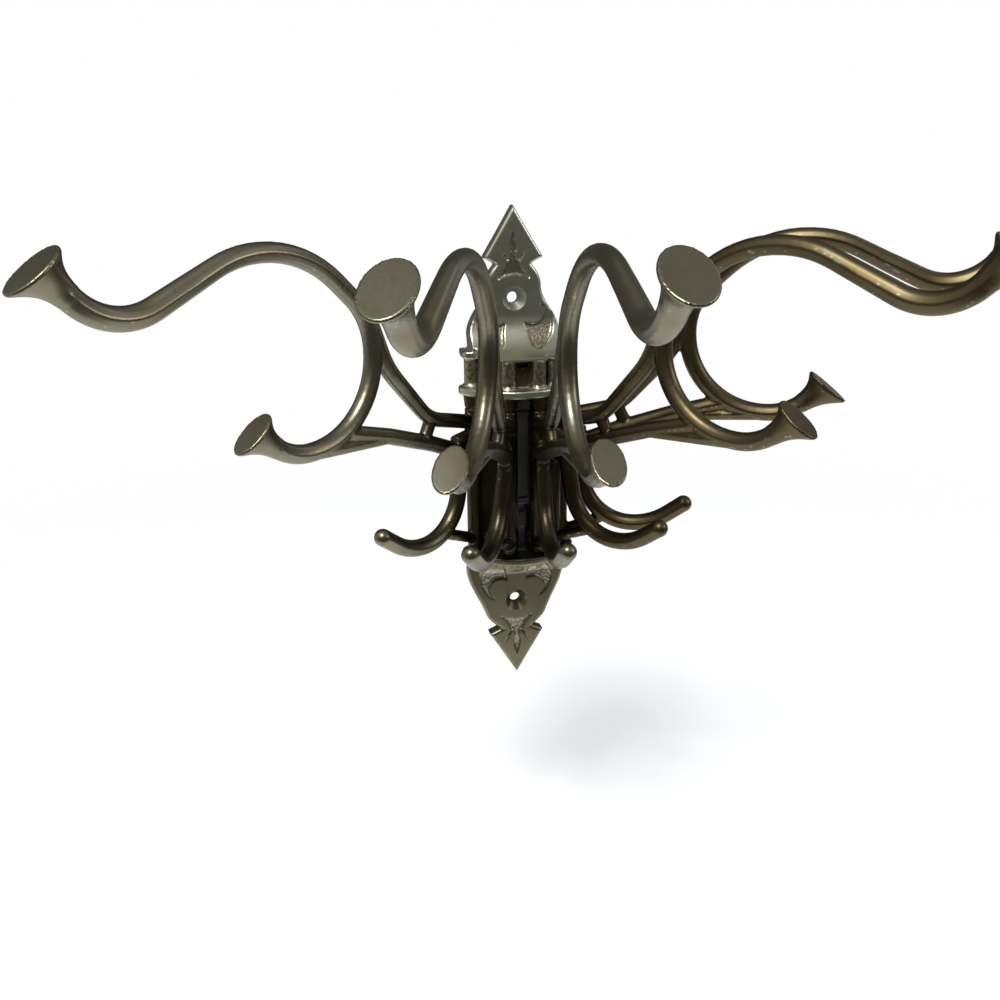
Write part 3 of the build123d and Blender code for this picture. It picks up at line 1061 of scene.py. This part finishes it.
    def place(self, master: bpy.types.Object, where: ArmPlace, finish: bpy.types.Material) -> bpy.types.Object:
        """Copies the casting to one pivot.

        Args:
            master: the casting in its own plane.
            where: the pivot, the azimuth and the arm's own bends.
            finish: the arm's material.

        Returns:
            The placed arm.
        """
        select_only(master)
        bpy.ops.object.duplicate(linked=False)
        arm = bpy.context.object
        arm.name = f"casting_{where.name}"
        station = math.radians(STATION_ANGLES[where.station])
        hub = Vector((where.side * math.sin(station), -math.cos(station), 0.0)) * STATION_RADIUS * MM
        slope = math.tan(math.radians(where.lean))
        climb = math.tan(math.radians(where.lift))
        prong_low, prong_high = (height * MM for height in self.prong_band)
        for vertex in arm.data.vertices:
            r, side, z = vertex.co
            share = portion(math.hypot(r, side), self.barrel_radius, self.twist_reach - self.barrel_radius)
            low = portion(self.hook_top * MM - z, 0.0, self.hook_fade)
            turn = math.radians(where.azimuth + where.hook_twist * low * share)
            out = Vector((math.cos(turn), -math.sin(turn), 0.0))
            across = Vector((math.sin(turn), math.cos(turn), 0.0))
            rise = r * climb * portion(r, self.lift_start, self.lift_length)
            rise *= portion(z, self.lift_floor, self.lift_fade)
            if prong_low < z < prong_high:
                rise -= where.prong_drop * MM * portion(r, self.prong_start, self.prong_fade)
            vertex.co = hub + out * r + across * (side + z * slope * share) + Vector((0.0, 0.0, z + rise))
        arm.data.materials.clear()
        arm.data.materials.append(finish)
        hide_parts(where.name)
        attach(arm, where.name)
        log.info("arm %s: %d faces", where.name, len(arm.data.polygons))
        return arm


# ----------------------------------------------------------------- wall plate


@dataclass(frozen=True)
class ShieldDrawing:
    """One shield seen from the front: distances are from its screw hole, away from the middle."""

    side: int
    edge: POINTS
    end: float
    horn_shift: float

    def rise(self, points: POINTS, hand: int = 1) -> POINTS:
        """Turns distances from the hole into heights, on the right or the left hand."""
        return tuple((hand * p[0], self.side * (HOLE_HEIGHT + p[1]), *p[2:]) for p in points)

    def body(self) -> POINTS:
        """Whole outline with the arrowhead."""
        end = self.side * self.end
        return both_hands(self.rise(self.edge) + ((13.4, end, 1), (0.0, end, 1)))

    def scroll(self, hand: int) -> POINTS:
        """Draws a comma-shaped scroll with a thin hooked horn and a pointed inner end.

        Args:
            hand: 1 for the right one, -1 for the left one.

        Returns:
            Its outline.
        """
        s = self.horn_shift
        return self.rise(
            (
                (7.0, -1.7 + s, 1),
                (8.6, -1.9 + s * 0.7),
                (10.5, -3.6 + s * 0.4),
                (11.6, -6.2),
                (11.7, -8.8),
                (10.6, -11.4),
                (8.3, -13.5),
                (5.7, -14.4),
                (4.1, -13.4, 1),
                (3.7, -10.2),
                (2.9, -7.2, 1),
                (5.3, -8.0),
                (7.8, -7.2),
                (9.3, -5.3),
                (8.9, -3.4 + s * 0.6),
            ),
            hand,
        )

    def fan(self) -> POINTS:
        """Draws the fan whose two horns curl up beside the hole.

        Returns:
            Its outline.
        """
        half = (
            (0.0, 6.9, 1),
            (3.2, 6.3),
            (6.1, 5.0, 1),
            (4.4, 6.6),
            (3.0, 8.4),
            (1.9, 10.9, 1),
            (0.0, 11.3, 1),
        )
        return both_hands(self.rise(half))

    def leaf(self) -> POINTS:
        """Middle leaf that runs down into the arrowhead."""
        half = ((0.0, 10.2, 1), (1.1, 10.6), (0.75, 12.6), (1.15, 15.0), (0.0, 20.0, 1))
        return both_hands(self.rise(half))

    def side_leaf(self, hand: int) -> POINTS:
        """Curved leaf beside the middle one."""
        return self.rise(((1.1, 10.3, 1), (2.2, 12.4), (4.6, 16.3, 1), (3.4, 13.4), (1.9, 10.6, 1)), hand)


UPPER_SHIELD = ShieldDrawing(
    1,
    (
        (0.0, 26.8, 1),
        (4.1, 20.0),
        (9.1, 11.9, 1),
        (5.4, 10.0, 1),
        (7.4, 7.4),
        (8.3, 5.0),
        (8.7, 1.6),
        (10.4, -1.9),
        (12.6, -5.4),
        (14.0, -9.0),
        (14.0, -13.0),
    ),
    25.8,
    0.0,
)
LOWER_SHIELD = ShieldDrawing(
    -1,
    (
        (0.0, 26.8, 1),
        (4.1, 20.0),
        (9.1, 11.7, 1),
        (5.3, 10.1, 1),
        (7.7, 8.0),
        (9.5, 6.0),
        (10.7, 3.2),
        (12.0, 0.2),
        (13.7, -3.3),
        (15.2, -7.0),
        (15.9, -10.4),
        (15.6, -14.0),
    ),
    25.8,
    0.8,
)


@dataclass
class WallPlate:
    """The wall plate casting: shields, coved cap, posts, shelves, bosses and centre strip."""

    front: float = 4.2
    sink: float = 0.8
    cove: float = 11.8
    cap_top: float = 33.5
    post_top: float = 32.6
    shelf_top: float = 24.2
    shelf_low: float = 21.8
    low_shelf_top: float = -28.7
    low_shelf: float = -31.0
    voxel: float = 0.30
    kept_share: float = 0.66

    def stations(self) -> list[tuple[float, float]]:
        """Lists the pivots.

        Returns:
            x and y of each, left and right in turn from the middle.
        """
        spots = []
        for angle in STATION_ANGLES:
            a = math.radians(angle)
            for side in (-1, 1):
                spots.append((side * STATION_RADIUS * math.sin(a), -STATION_RADIUS * math.cos(a)))
        return spots

    def ornament(self, shield: ShieldDrawing, depth: float) -> list[bpy.types.Object]:
        """Prisms that cut the ornament through the outer skin.

        Args:
            shield: the shield's drawing.
            depth: how far out the prisms reach.

        Returns:
            The cutting prisms.
        """
        outlines = [shield.scroll(1), shield.scroll(-1), shield.fan(), shield.leaf()]
        outlines += [shield.side_leaf(1), shield.side_leaf(-1)]
        return [Outline(o, View.FRONT).solid("cutter", -2.0, depth) for o in outlines]

    def bay(self, number: int, radius: float, inset: float) -> bpy.types.Object:
        """One bay of the coved cap, from the shield's face out over a pair of posts.

        Args:
            number: the pair of posts, counted from the middle.
            radius: radius of the cove.
            inset: how far all its faces stand back.

        Returns:
            The bay.
        """
        a = math.radians(STATION_ANGLES[number])
        half_width = min(STATION_RADIUS * math.sin(a) + 2.55, 13.9) - inset
        depth = STATION_RADIUS * math.cos(a) + 2.55 - inset
        middle, height = self.front + self.cove, self.cap_top + self.cove
        points = [(self.front - inset, height, 1)]
        reach = min(depth, middle)
        for k in range(1, 19):
            turn = math.radians(5.0 * k)
            out = middle - radius * math.cos(turn)
            drop = radius * math.sin(turn)
            if out > reach:
                out, drop = reach, math.sqrt(max(radius**2 - (middle - reach) ** 2, 0.0))
            points.append((out, max(height - drop, self.post_top + 0.1), 1))
            if out == reach:
                break
        if depth > reach:
            points.append((depth, points[-1][1], 1))
        points += [(depth, self.post_top, 1), (0.0, self.post_top, 1), (0.0, height, 1)]
        bay = Outline(tuple(points), View.SIDE).solid(f"cap_bay_{number}", -half_width, half_width)
        flank = (
            (0.0, 49.0, 1),
            (9.6, 48.6, 1),
            (10.5, 47.2),
            (12.7, 43.6),
            (14.0, 40.0),
            (14.3, 37.4),
            (15.0, 35.2),
            (16.6, 33.8, 1),
            (16.6, 30.0, 1),
            (0.0, 30.0, 1),
        )
        cut(bay, Outline(both_hands(flank), View.FRONT).solid("flank", -1.0, 20.0), keep_common=True)
        return bay

    def rim(self, radius: float, end: float) -> POINTS:
        """Draws the plan of a shelf: an arc past the pivots with rounded ends.

        Args:
            radius: radius of the arc.
            end: radius of the rounded ends.

        Returns:
            Its outline.
        """
        last = math.radians(STATION_ANGLES[-1])
        half = [(0.0, -radius)]
        for k in range(1, 9):
            a = last * k / 8
            half.append((radius * math.sin(a), -radius * math.cos(a)))
        centre = (STATION_RADIUS * math.sin(last), -STATION_RADIUS * math.cos(last))
        for turn in (30.0, 60.0, 90.0):
            a = last + math.radians(turn)
            half.append((centre[0] + end * math.sin(a), centre[1] - end * math.cos(a)))
        half.append((centre[0] - 0.5, -0.2, 1))
        half.append((0.0, -0.2, 1))
        return both_hands(tuple(half))

    def shields(self) -> list[bpy.types.Object]:
        """Makes both shields, with the ornament cut through their skin and a backing under it.

        Returns:
            The separate solids.
        """
        made = []
        for shield in (UPPER_SHIELD, LOWER_SHIELD):
            body = Outline(shield.body(), View.FRONT)
            skin = body.solid("shield_skin", -3.0, self.front, 0.9)
            backing = body.solid("shield_backing", -3.0, self.front - self.sink, 1.0)
            parts = [skin]
            if shield is UPPER_SHIELD:
                parts += [self.bay(k, self.cove, 0.0) for k in range(3)]
                made += [self.bay(k, self.cove + self.sink, self.sink) for k in range(3)]
            else:
                parts += [self.skirt(k, 0.0) for k in range(2)]
                made += [self.skirt(k, self.sink) for k in range(2)]
            for part in parts:
                for tool in self.ornament(shield, 20.0):
                    cut(part, tool)
            made += [*parts, backing]
        return made

    def skirt(self, number: int, inset: float) -> bpy.types.Object:
        """Makes one bay of the cove under the lower shelf.

        Args:
            number: the pair of stations, counted from the middle.
            inset: how far all its faces stand back.

        Returns:
            The bay.
        """
        a = math.radians(STATION_ANGLES[number])
        half_width = STATION_RADIUS * math.sin(a) + 2.0 - inset
        depth = STATION_RADIUS * math.cos(a) + 2.2 - inset
        low, drop = self.low_shelf, 8.0
        points = [(0.0, low + 1.0, 1), (depth, low + 1.0, 1), (depth, low - 0.6 + inset * 0.5, 1)]
        for k in range(1, 11):
            share = k / 10
            out = depth + (self.front - inset - depth) * share
            points.append((out, low - 0.6 - drop * (1 - math.sqrt(max(1 - share**2, 0.0))) + inset * 0.5, 1))
        points.append((0.0, points[-1][1], 1))
        return Outline(tuple(points), View.SIDE).solid(f"skirt_bay_{number}", -half_width, half_width)

    def housing(self) -> list[bpy.types.Object]:
        """Makes the posts, core, shelves and bosses round the pivots.

        Returns:
            The separate solids.
        """
        made = []
        core = Outline(self.rim(STATION_RADIUS - 1.4, 0.85), View.PLAN)
        made.append(core.solid("core", self.shelf_top - 0.5, self.post_top + 0.5))
        shelf = Outline(self.rim(STATION_RADIUS + 4.1, 4.1), View.PLAN)
        made.append(shelf.solid("upper_shelf", self.shelf_low, self.shelf_top, 0.5))
        made.append(shelf.solid("lower_shelf", self.low_shelf, self.low_shelf_top, 0.45))
        ear_half = ((0.0, -8.7, 1), (15.6, -8.7), (16.5, -7.8), (16.5, -0.2, 1), (0.0, -0.2, 1))
        ear = Outline(both_hands(ear_half), View.PLAN)
        made.append(ear.solid("cap_ear", self.post_top, self.post_top + 2.2, 0.5))
        for x, y in self.stations():
            made.append(cylinder("post", 2.3, (x, y), self.shelf_top - 0.5, self.post_top + 0.3))
            made.append(cylinder("post_foot", 2.75, (x, y), self.shelf_top - 0.5, self.shelf_top + 0.55))
            made.append(self.boss((x, y), self.shelf_low + 0.5, 2.85, self.shelf_low - 4.2, 2.3))
            made.append(self.boss((x, y), self.low_shelf + 0.5, 2.4, self.low_shelf - 2.6, 1.9))
        return made

    def boss(
        self, spot: tuple[float, float], top: float, wide: float, foot: float, thin: float
    ) -> bpy.types.Object:
        """Tapered boss that hangs from a shelf.

        Args:
            spot: x and y of its axis.
            top: height of its top.
            wide: radius at its top.
            foot: height of its end.
            thin: radius at its end.

        Returns:
            The boss.
        """
        object_mode_clear()
        bpy.ops.mesh.primitive_cone_add(
            vertices=28,
            radius1=thin * MM,
            radius2=wide * MM,
            depth=(top - foot) * MM,
            location=(spot[0] * MM, spot[1] * MM, (top + foot) / 2 * MM),
        )
        item = bpy.context.object
        item.name = "boss"
        apply_place(item)
        return item

    def strip(self) -> list[bpy.types.Object]:
        """Makes the channel wall, the centre strip with its blocks, and the rib under it.

        Returns:
            The separate solids.
        """
        rib = (
            (0.0, -31.2, 1),
            (17.8, -31.2, 1),
            (17.6, -32.0, 1),
            (12.0, -33.7),
            (7.2, -36.0),
            (4.6, -39.0),
            (0.0, -39.5, 1),
        )
        return [
            box("channel", (-12.6, 0.0, -27.0), (12.6, -2.6, 27.0)),
            box("strip_face", (-1.8, 0.0, self.shelf_low + 0.5), (1.8, -14.2, -12.4)),
            box("strip_foot", (-1.5, 0.0, -12.0), (1.5, -11.6, self.low_shelf_top - 0.5)),
            box("strip_knob", (-1.2, 0.0, -15.4), (1.2, -12.6, -20.4)),
            Outline(rib, View.SIDE).solid("lower_rib", -2.0, 2.0, 0.6),
        ]

    def countersink(self, side: int) -> list[bpy.types.Object]:
        """Makes the cutting tools of one screw hole.

        Args:
            side: 1 for the upper shield, -1 for the lower one.

        Returns:
            The hole and its cone.
        """
        hole = cylinder("hole", 1.7, (0.0, 0.0), -6.0, 6.0, 32)
        slope = math.tan(math.radians(41.0))
        cone = self.boss((0.0, 0.0), 5.2, 3.7 + 1.0 * slope, 1.9, 3.7 - 2.3 * slope)
        for tool in (hole, cone):
            tool.matrix_world = Matrix.Translation((0.0, 0.0, side * HOLE_HEIGHT * MM)) @ Matrix.Rotation(
                math.radians(90.0), 4, "X"
            )
            apply_place(tool)
        return [hole, cone]

    def carve(self, plate: bpy.types.Object) -> None:
        """Cuts the screw holes, bores, grooves, slot and pockets.

        Args:
            plate: the melted plate.
        """
        upper, lower = self.countersink(1), self.countersink(-1)
        tools = [upper[1], lower[1]]
        tools += [cylinder("bore", 1.22, (x, y), -32.6, 32.4, 24) for x, y in self.stations()]
        tools.append(box("top_groove", (-3.0, -13.3, 17.7), (3.0, -16.0, 16.9)))
        tools.append(box("bar_groove", (-3.0, -13.4, -9.7), (3.0, -16.0, -10.5)))
        tools.append(box("slot", (-1.7, -10.9, 31.6), (1.7, -17.0, 30.2)))
        for x in (-6.2, -2.95, 2.95, 6.2):
            tools.append(box("pocket", (x - 0.95, -9.5, -32.8), (x + 0.95, -17.2, -35.4)))
        cut(plate, join("tools", *tools))
        cut(plate, join("holes", upper[0], lower[0]))

    def build(self, finishes: dict[str, bpy.types.Material]) -> bpy.types.Object:
        """Models the whole plate.

        Args:
            finishes: the plate's finishes by name.

        Returns:
            The plate.
        """
        plate = join("plate_casting", *self.shields(), *self.housing(), *self.strip())
        melt(plate, self.voxel, 2)
        modifier(plate, "DECIMATE", ratio=self.kept_share)
        select_only(plate)
        bpy.ops.object.mode_set(mode="EDIT")
        bpy.ops.mesh.select_all(action="SELECT")
        bpy.ops.mesh.bisect(
            plane_co=(0, -1e-5, 0), plane_no=(0, 1, 0), clear_outer=True, use_fill=True, threshold=1e-7
        )
        bpy.ops.object.mode_set(mode="OBJECT")
        self.carve(plate)
        select_only(plate)
        bpy.ops.object.shade_smooth_by_angle(angle=math.radians(35.0))
        plate.data.materials.clear()
        for key in ("plain", "sunk", "post", "inside", "strip", "low"):
            plate.data.materials.append(finishes[key])
        for face in plate.data.polygons:
            face.material_index = self.zone(face)
        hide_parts("wall_plate")
        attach(plate, "wall_bracket")
        log.info("wall plate: %d faces", len(plate.data.polygons))
        return plate

    def zone(self, face: bpy.types.MeshPolygon) -> int:
        """Tells which finish a face takes.

        Args:
            face: a face of the plate.

        Returns:
            0 for the plain upper skin (the lit copy), 1 sunk ground, 2 post, 3 painted shade inside, 4 strip,
            5 lower skin in painted shade and back.
        """
        x, y, z = (v / MM for v in face.center)
        out = -y
        if face.normal.y > 0.9 and y > -0.5:
            return 5
        # the core behind the posts and the wall between the shelves take the painted-shade finish (3)
        if self.shelf_top + 0.4 < z < self.post_top and out > 2.7:
            behind = math.hypot(x, y) < STATION_RADIUS - 0.9
            return 3 if behind else 2
        if self.low_shelf_top - 0.2 < z < self.shelf_low + 0.2:
            return 4 if abs(x) < 2.0 and out > 10.0 else 3
        # the upper half takes the lit copy (0) and the lower half the shaded copy (5): painted shade
        plain = 0 if z > 0 else 5
        if abs(z) < 33.0 or face.normal.y > -0.2:
            return plain
        if abs(z) > 45.0 or z < 0:
            deep = 2.9 < out < self.front - 0.45
        else:
            height = self.cap_top + self.cove - z
            skin = self.front + self.cove - math.sqrt(max(self.cove**2 - height**2, 0.0))
            deep = skin - 1.3 < out < skin - 0.35
        near_hole = math.hypot(x, abs(z) - HOLE_HEIGHT) < 4.3
        inside = abs(x) < 12.2 and abs(abs(z) - HOLE_HEIGHT) < 21.0
        return 1 if deep and inside and not near_hole else plain


# --------------------------------------------------------------------- studio


@dataclass(frozen=True)
class Studio:
    """Camera at the photograph's angle, pale floor and soft lamps."""

    focal_px: float = 983.8
    pitch: float = 18.64
    yaw: float = -13.53
    roll: float = -0.55
    aim: tuple[float, float, float] = (-0.416, 0.0, -12.688)
    distance: float = 317.51
    centre_px: tuple[float, float] = (511.5, 490.9)
    floor_z: float = -0.16

    def camera(self) -> None:
        """Places the camera."""
        pitch, yaw, roll = (math.radians(a) for a in (self.pitch, self.yaw, self.roll))
        back = Vector((math.sin(yaw) * math.cos(pitch), -math.cos(yaw) * math.cos(pitch), math.sin(pitch)))
        right = Vector((math.cos(yaw), math.sin(yaw), 0.0))
        up = back.cross(right)
        right, up = (
            right * math.cos(roll) + up * math.sin(roll),
            up * math.cos(roll) - right * math.sin(roll),
        )
        data = bpy.data.cameras.new("view_camera")
        data.sensor_width = 36.0
        data.lens = self.focal_px * 36.0 / 1000.0
        data.shift_x = (500.0 - self.centre_px[0]) / 1000.0
        data.shift_y = (self.centre_px[1] - 500.0) / 1000.0
        data.clip_start, data.clip_end = 0.01, 20.0
        camera = bpy.data.objects.new("view_camera", data)
        bpy.context.scene.collection.objects.link(camera)
        turn = Matrix((right, up, back)).transposed().to_4x4()
        spot = Vector(self.aim) * MM + back * self.distance * MM
        camera.matrix_world = Matrix.Translation(spot) @ turn
        bpy.context.scene.camera = camera

    def floor(self) -> None:
        """Lays the pale floor."""
        object_mode_clear()
        bpy.ops.mesh.primitive_plane_add(size=6.0, location=(0.0, 0.0, self.floor_z))
        floor = bpy.context.object
        floor.name = "studio_floor"
        material = bpy.data.materials.new("pale_floor")
        material.use_nodes = True
        material.node_tree.nodes.clear()
        g = Graph(material.node_tree)
        diffuse = g.add("ShaderNodeBsdfDiffuse", {"Color": (0.86, 0.86, 0.855, 1.0)})
        clear = g.add("ShaderNodeBsdfTransparent")
        place = g.add("ShaderNodeTexCoord").outputs["Object"]
        away = g.add("ShaderNodeVectorMath", {0: place}, operation="LENGTH").outputs["Value"]
        fade = g.spread(away, 0.12, 0.62)
        both = g.add("ShaderNodeMixShader", {0: fade, 1: diffuse.outputs[0], 2: clear.outputs[0]})
        end = g.add("ShaderNodeOutputMaterial")
        g.tree.links.new(both.outputs[0], end.inputs["Surface"])
        floor.data.materials.append(material)

    def world(self) -> None:
        """Sets an even room: white where it is seen, softer where it lights."""
        world = bpy.data.worlds.new("even_room")
        bpy.context.scene.world = world
        world.use_nodes = True
        world.node_tree.nodes.clear()
        g = Graph(world.node_tree)
        path = g.add("ShaderNodeLightPath")
        seen = g.math("MAXIMUM", path.outputs["Is Camera Ray"], path.outputs["Is Transmission Ray"])
        seen = g.math("MAXIMUM", seen, path.outputs["Is Glossy Ray"])
        light = g.add("ShaderNodeBackground", {"Color": (0.93, 0.96, 1.0, 1.0), "Strength": 0.85})
        shown = g.add("ShaderNodeBackground", {"Color": (1.0, 1.0, 1.0, 1.0), "Strength": 1.0})
        both = g.add("ShaderNodeMixShader", {0: seen, 1: light.outputs[0], 2: shown.outputs[0]})
        end = g.add("ShaderNodeOutputWorld")
        g.tree.links.new(both.outputs[0], end.inputs["Surface"])

    def card(self, name: str, size: float, place: tuple[float, float, float], tone: float) -> None:
        """Hangs a grey card that only reflections see.

        Args:
            name: the card's name.
            size: its side in metres.
            place: its middle; it faces the hook.
            tone: its grey level.
        """
        object_mode_clear()
        bpy.ops.mesh.primitive_plane_add(size=size, location=place)
        card = bpy.context.object
        card.name = name
        card.rotation_mode = "QUATERNION"
        card.rotation_quaternion = Vector(place).to_track_quat("Z", "Y")
        material = bpy.data.materials.new(name)
        material.use_nodes = True
        material.node_tree.nodes.clear()
        g = Graph(material.node_tree)
        glow = g.add("ShaderNodeEmission", {"Color": (tone, tone * 0.97, tone * 0.9, 1.0), "Strength": 1.0})
        end = g.add("ShaderNodeOutputMaterial")
        g.tree.links.new(glow.outputs[0], end.inputs["Surface"])
        card.data.materials.append(material)
        card.visible_camera = False
        card.visible_diffuse = False
        card.visible_shadow = False
        card.visible_transmission = False

    def lamp(self, name: str, place: tuple[float, float, float], size: float, watts: float) -> None:
        """Hangs a soft square lamp that points at the hook.

        Args:
            name: the lamp's name.
            place: where it hangs.
            size: its side in metres.
            watts: its power.
        """
        data = bpy.data.lights.new(name, "AREA")
        data.shape = "SQUARE"
        data.size = size
        data.energy = watts
        data.color = (1.0, 0.985, 0.955)
        lamp = bpy.data.objects.new(name, data)
        lamp.location = place
        lamp.rotation_mode = "QUATERNION"
        lamp.rotation_quaternion = Vector(place).to_track_quat("Z", "Y")
        bpy.context.scene.collection.objects.link(lamp)

    def build(self) -> None:
        """Builds the whole studio."""
        bpy.context.scene.view_settings.view_transform = "Standard"
        self.camera()
        self.floor()
        self.world()
        self.card("front_card", 1.5, (-0.15, -0.8, 0.0), 0.19)
        self.card("top_card", 1.5, (0.0, -0.1, 0.9), 0.36)
        self.card("left_card", 1.3, (-0.95, -0.1, 0.1), 0.40)
        self.card("right_card", 1.3, (0.95, -0.1, 0.1), 0.16)
        self.card("back_card", 1.5, (0.0, 0.6, 0.1), 0.10)
        self.card("low_card", 1.2, (0.0, -0.2, -0.155), 0.10)
        self.lamp("key_lamp", (-0.3, -0.5, 0.75), 0.26, 8.0)
        self.lamp("side_lamp", (0.7, -0.35, 0.35), 0.25, 1.3)


def main() -> None:
    """Builds the studio, the finishes and every piece."""
    logging.basicConfig(level=logging.INFO)
    effects = SharedEffects()
    Studio().build()
    finishes = {
        # lit copy of the plate nickel for the upper half: painted lighter than the lower copy
        "plain": CastNickel(
            "plate_nickel",
            base=(0.50, 0.515, 0.43, 1.0),
            tinted=(0.36, 0.35, 0.26, 1.0),
            worn=(0.6, 0.59, 0.5, 1.0),
            tint_amount=0.5,
            grain_strength=0.15,
        ).build(effects),
        # shaded copy of the plate nickel for the lower half and the back: painted shade
        "low": CastNickel(
            "plate_nickel_lower_shaded",
            base=(0.20, 0.186, 0.125, 1.0),
            tinted=(0.145, 0.125, 0.068, 1.0),
            worn=(0.46, 0.44, 0.35, 1.0),
            grain_strength=0.15,
        ).build(effects),
        "sunk": CastNickel(
            "sunk_ground",
            base=(0.30, 0.29, 0.22, 1.0),
            grain_shine=0.5,
            wear_amount=0.9,
            shade_and_grime_amount=0.8,
            grain_strength=0.9,
            grain_height=0.00016,
            grain_density=1500.0,
            coarseness=0.7,
        ).build(effects),
        "post": CastNickel(
            "post_skin",
            base=(0.24, 0.215, 0.145, 1.0),
            worn=(0.5, 0.46, 0.33, 1.0),
            grain_shine=0.6,
            wear_amount=0.9,
            grain_strength=0.9,
            grain_height=0.0002,
            grain_density=1300.0,
            coarseness=0.75,
        ).build(effects),
        # near-black finish for the core behind the posts and the wall between the shelves: painted shade
        "inside": CastNickel(
            "inside_painted_shade",
            base=(0.075, 0.06, 0.034, 1.0),
            tinted=(0.045, 0.03, 0.016, 1.0),
            worn=(0.24, 0.20, 0.12, 1.0),
            wear_amount=0.7,
            roughness=0.45,
        ).build(effects),
        # the centre strip is painted darker than the plate around it
        "strip": CastNickel(
            "strip_darker_grey",
            base=(0.115, 0.118, 0.108, 1.0),
            tinted=(0.08, 0.082, 0.078, 1.0),
            worn=(0.30, 0.30, 0.27, 1.0),
            wear_amount=0.8,
            roughness=0.4,
        ).build(effects),
    }
    arm = CastNickel("arm_nickel", hub_painted_shade=0.85).build(effects)
    # darker, browner copy of the arm nickel for the right-hand arms away from the key lamp: painted shade
    shaded_arm = CastNickel(
        "arm_nickel_shaded",
        base=(0.11, 0.09, 0.052, 1.0),
        tinted=(0.10, 0.074, 0.036, 1.0),
        worn=(0.34, 0.31, 0.23, 1.0),
        hub_painted_shade=0.85,
        roughness=0.4,
    ).build(effects)
    pin = CastNickel("pin_steel_finish", base=(0.5, 0.5, 0.49, 1.0), tint_amount=0.2).build(effects)
    for name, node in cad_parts.items():
        finish = finishes["plain"] if name == "wall_plate" else pin if name.startswith("pin") else arm
        node.data.materials.clear()
        node.data.materials.append(finish)
    WallPlate().build(finishes)
    casting = ArmCasting()
    master = casting.fuse(casting.rods())
    for where in ARMS:
        # the right-hand back arms take the painted-shade copy
        casting.place(master, where, shaded_arm if "right" in where.name and where.station else arm)
    bpy.data.objects.remove(master)


if __name__ == "__main__":
    main()
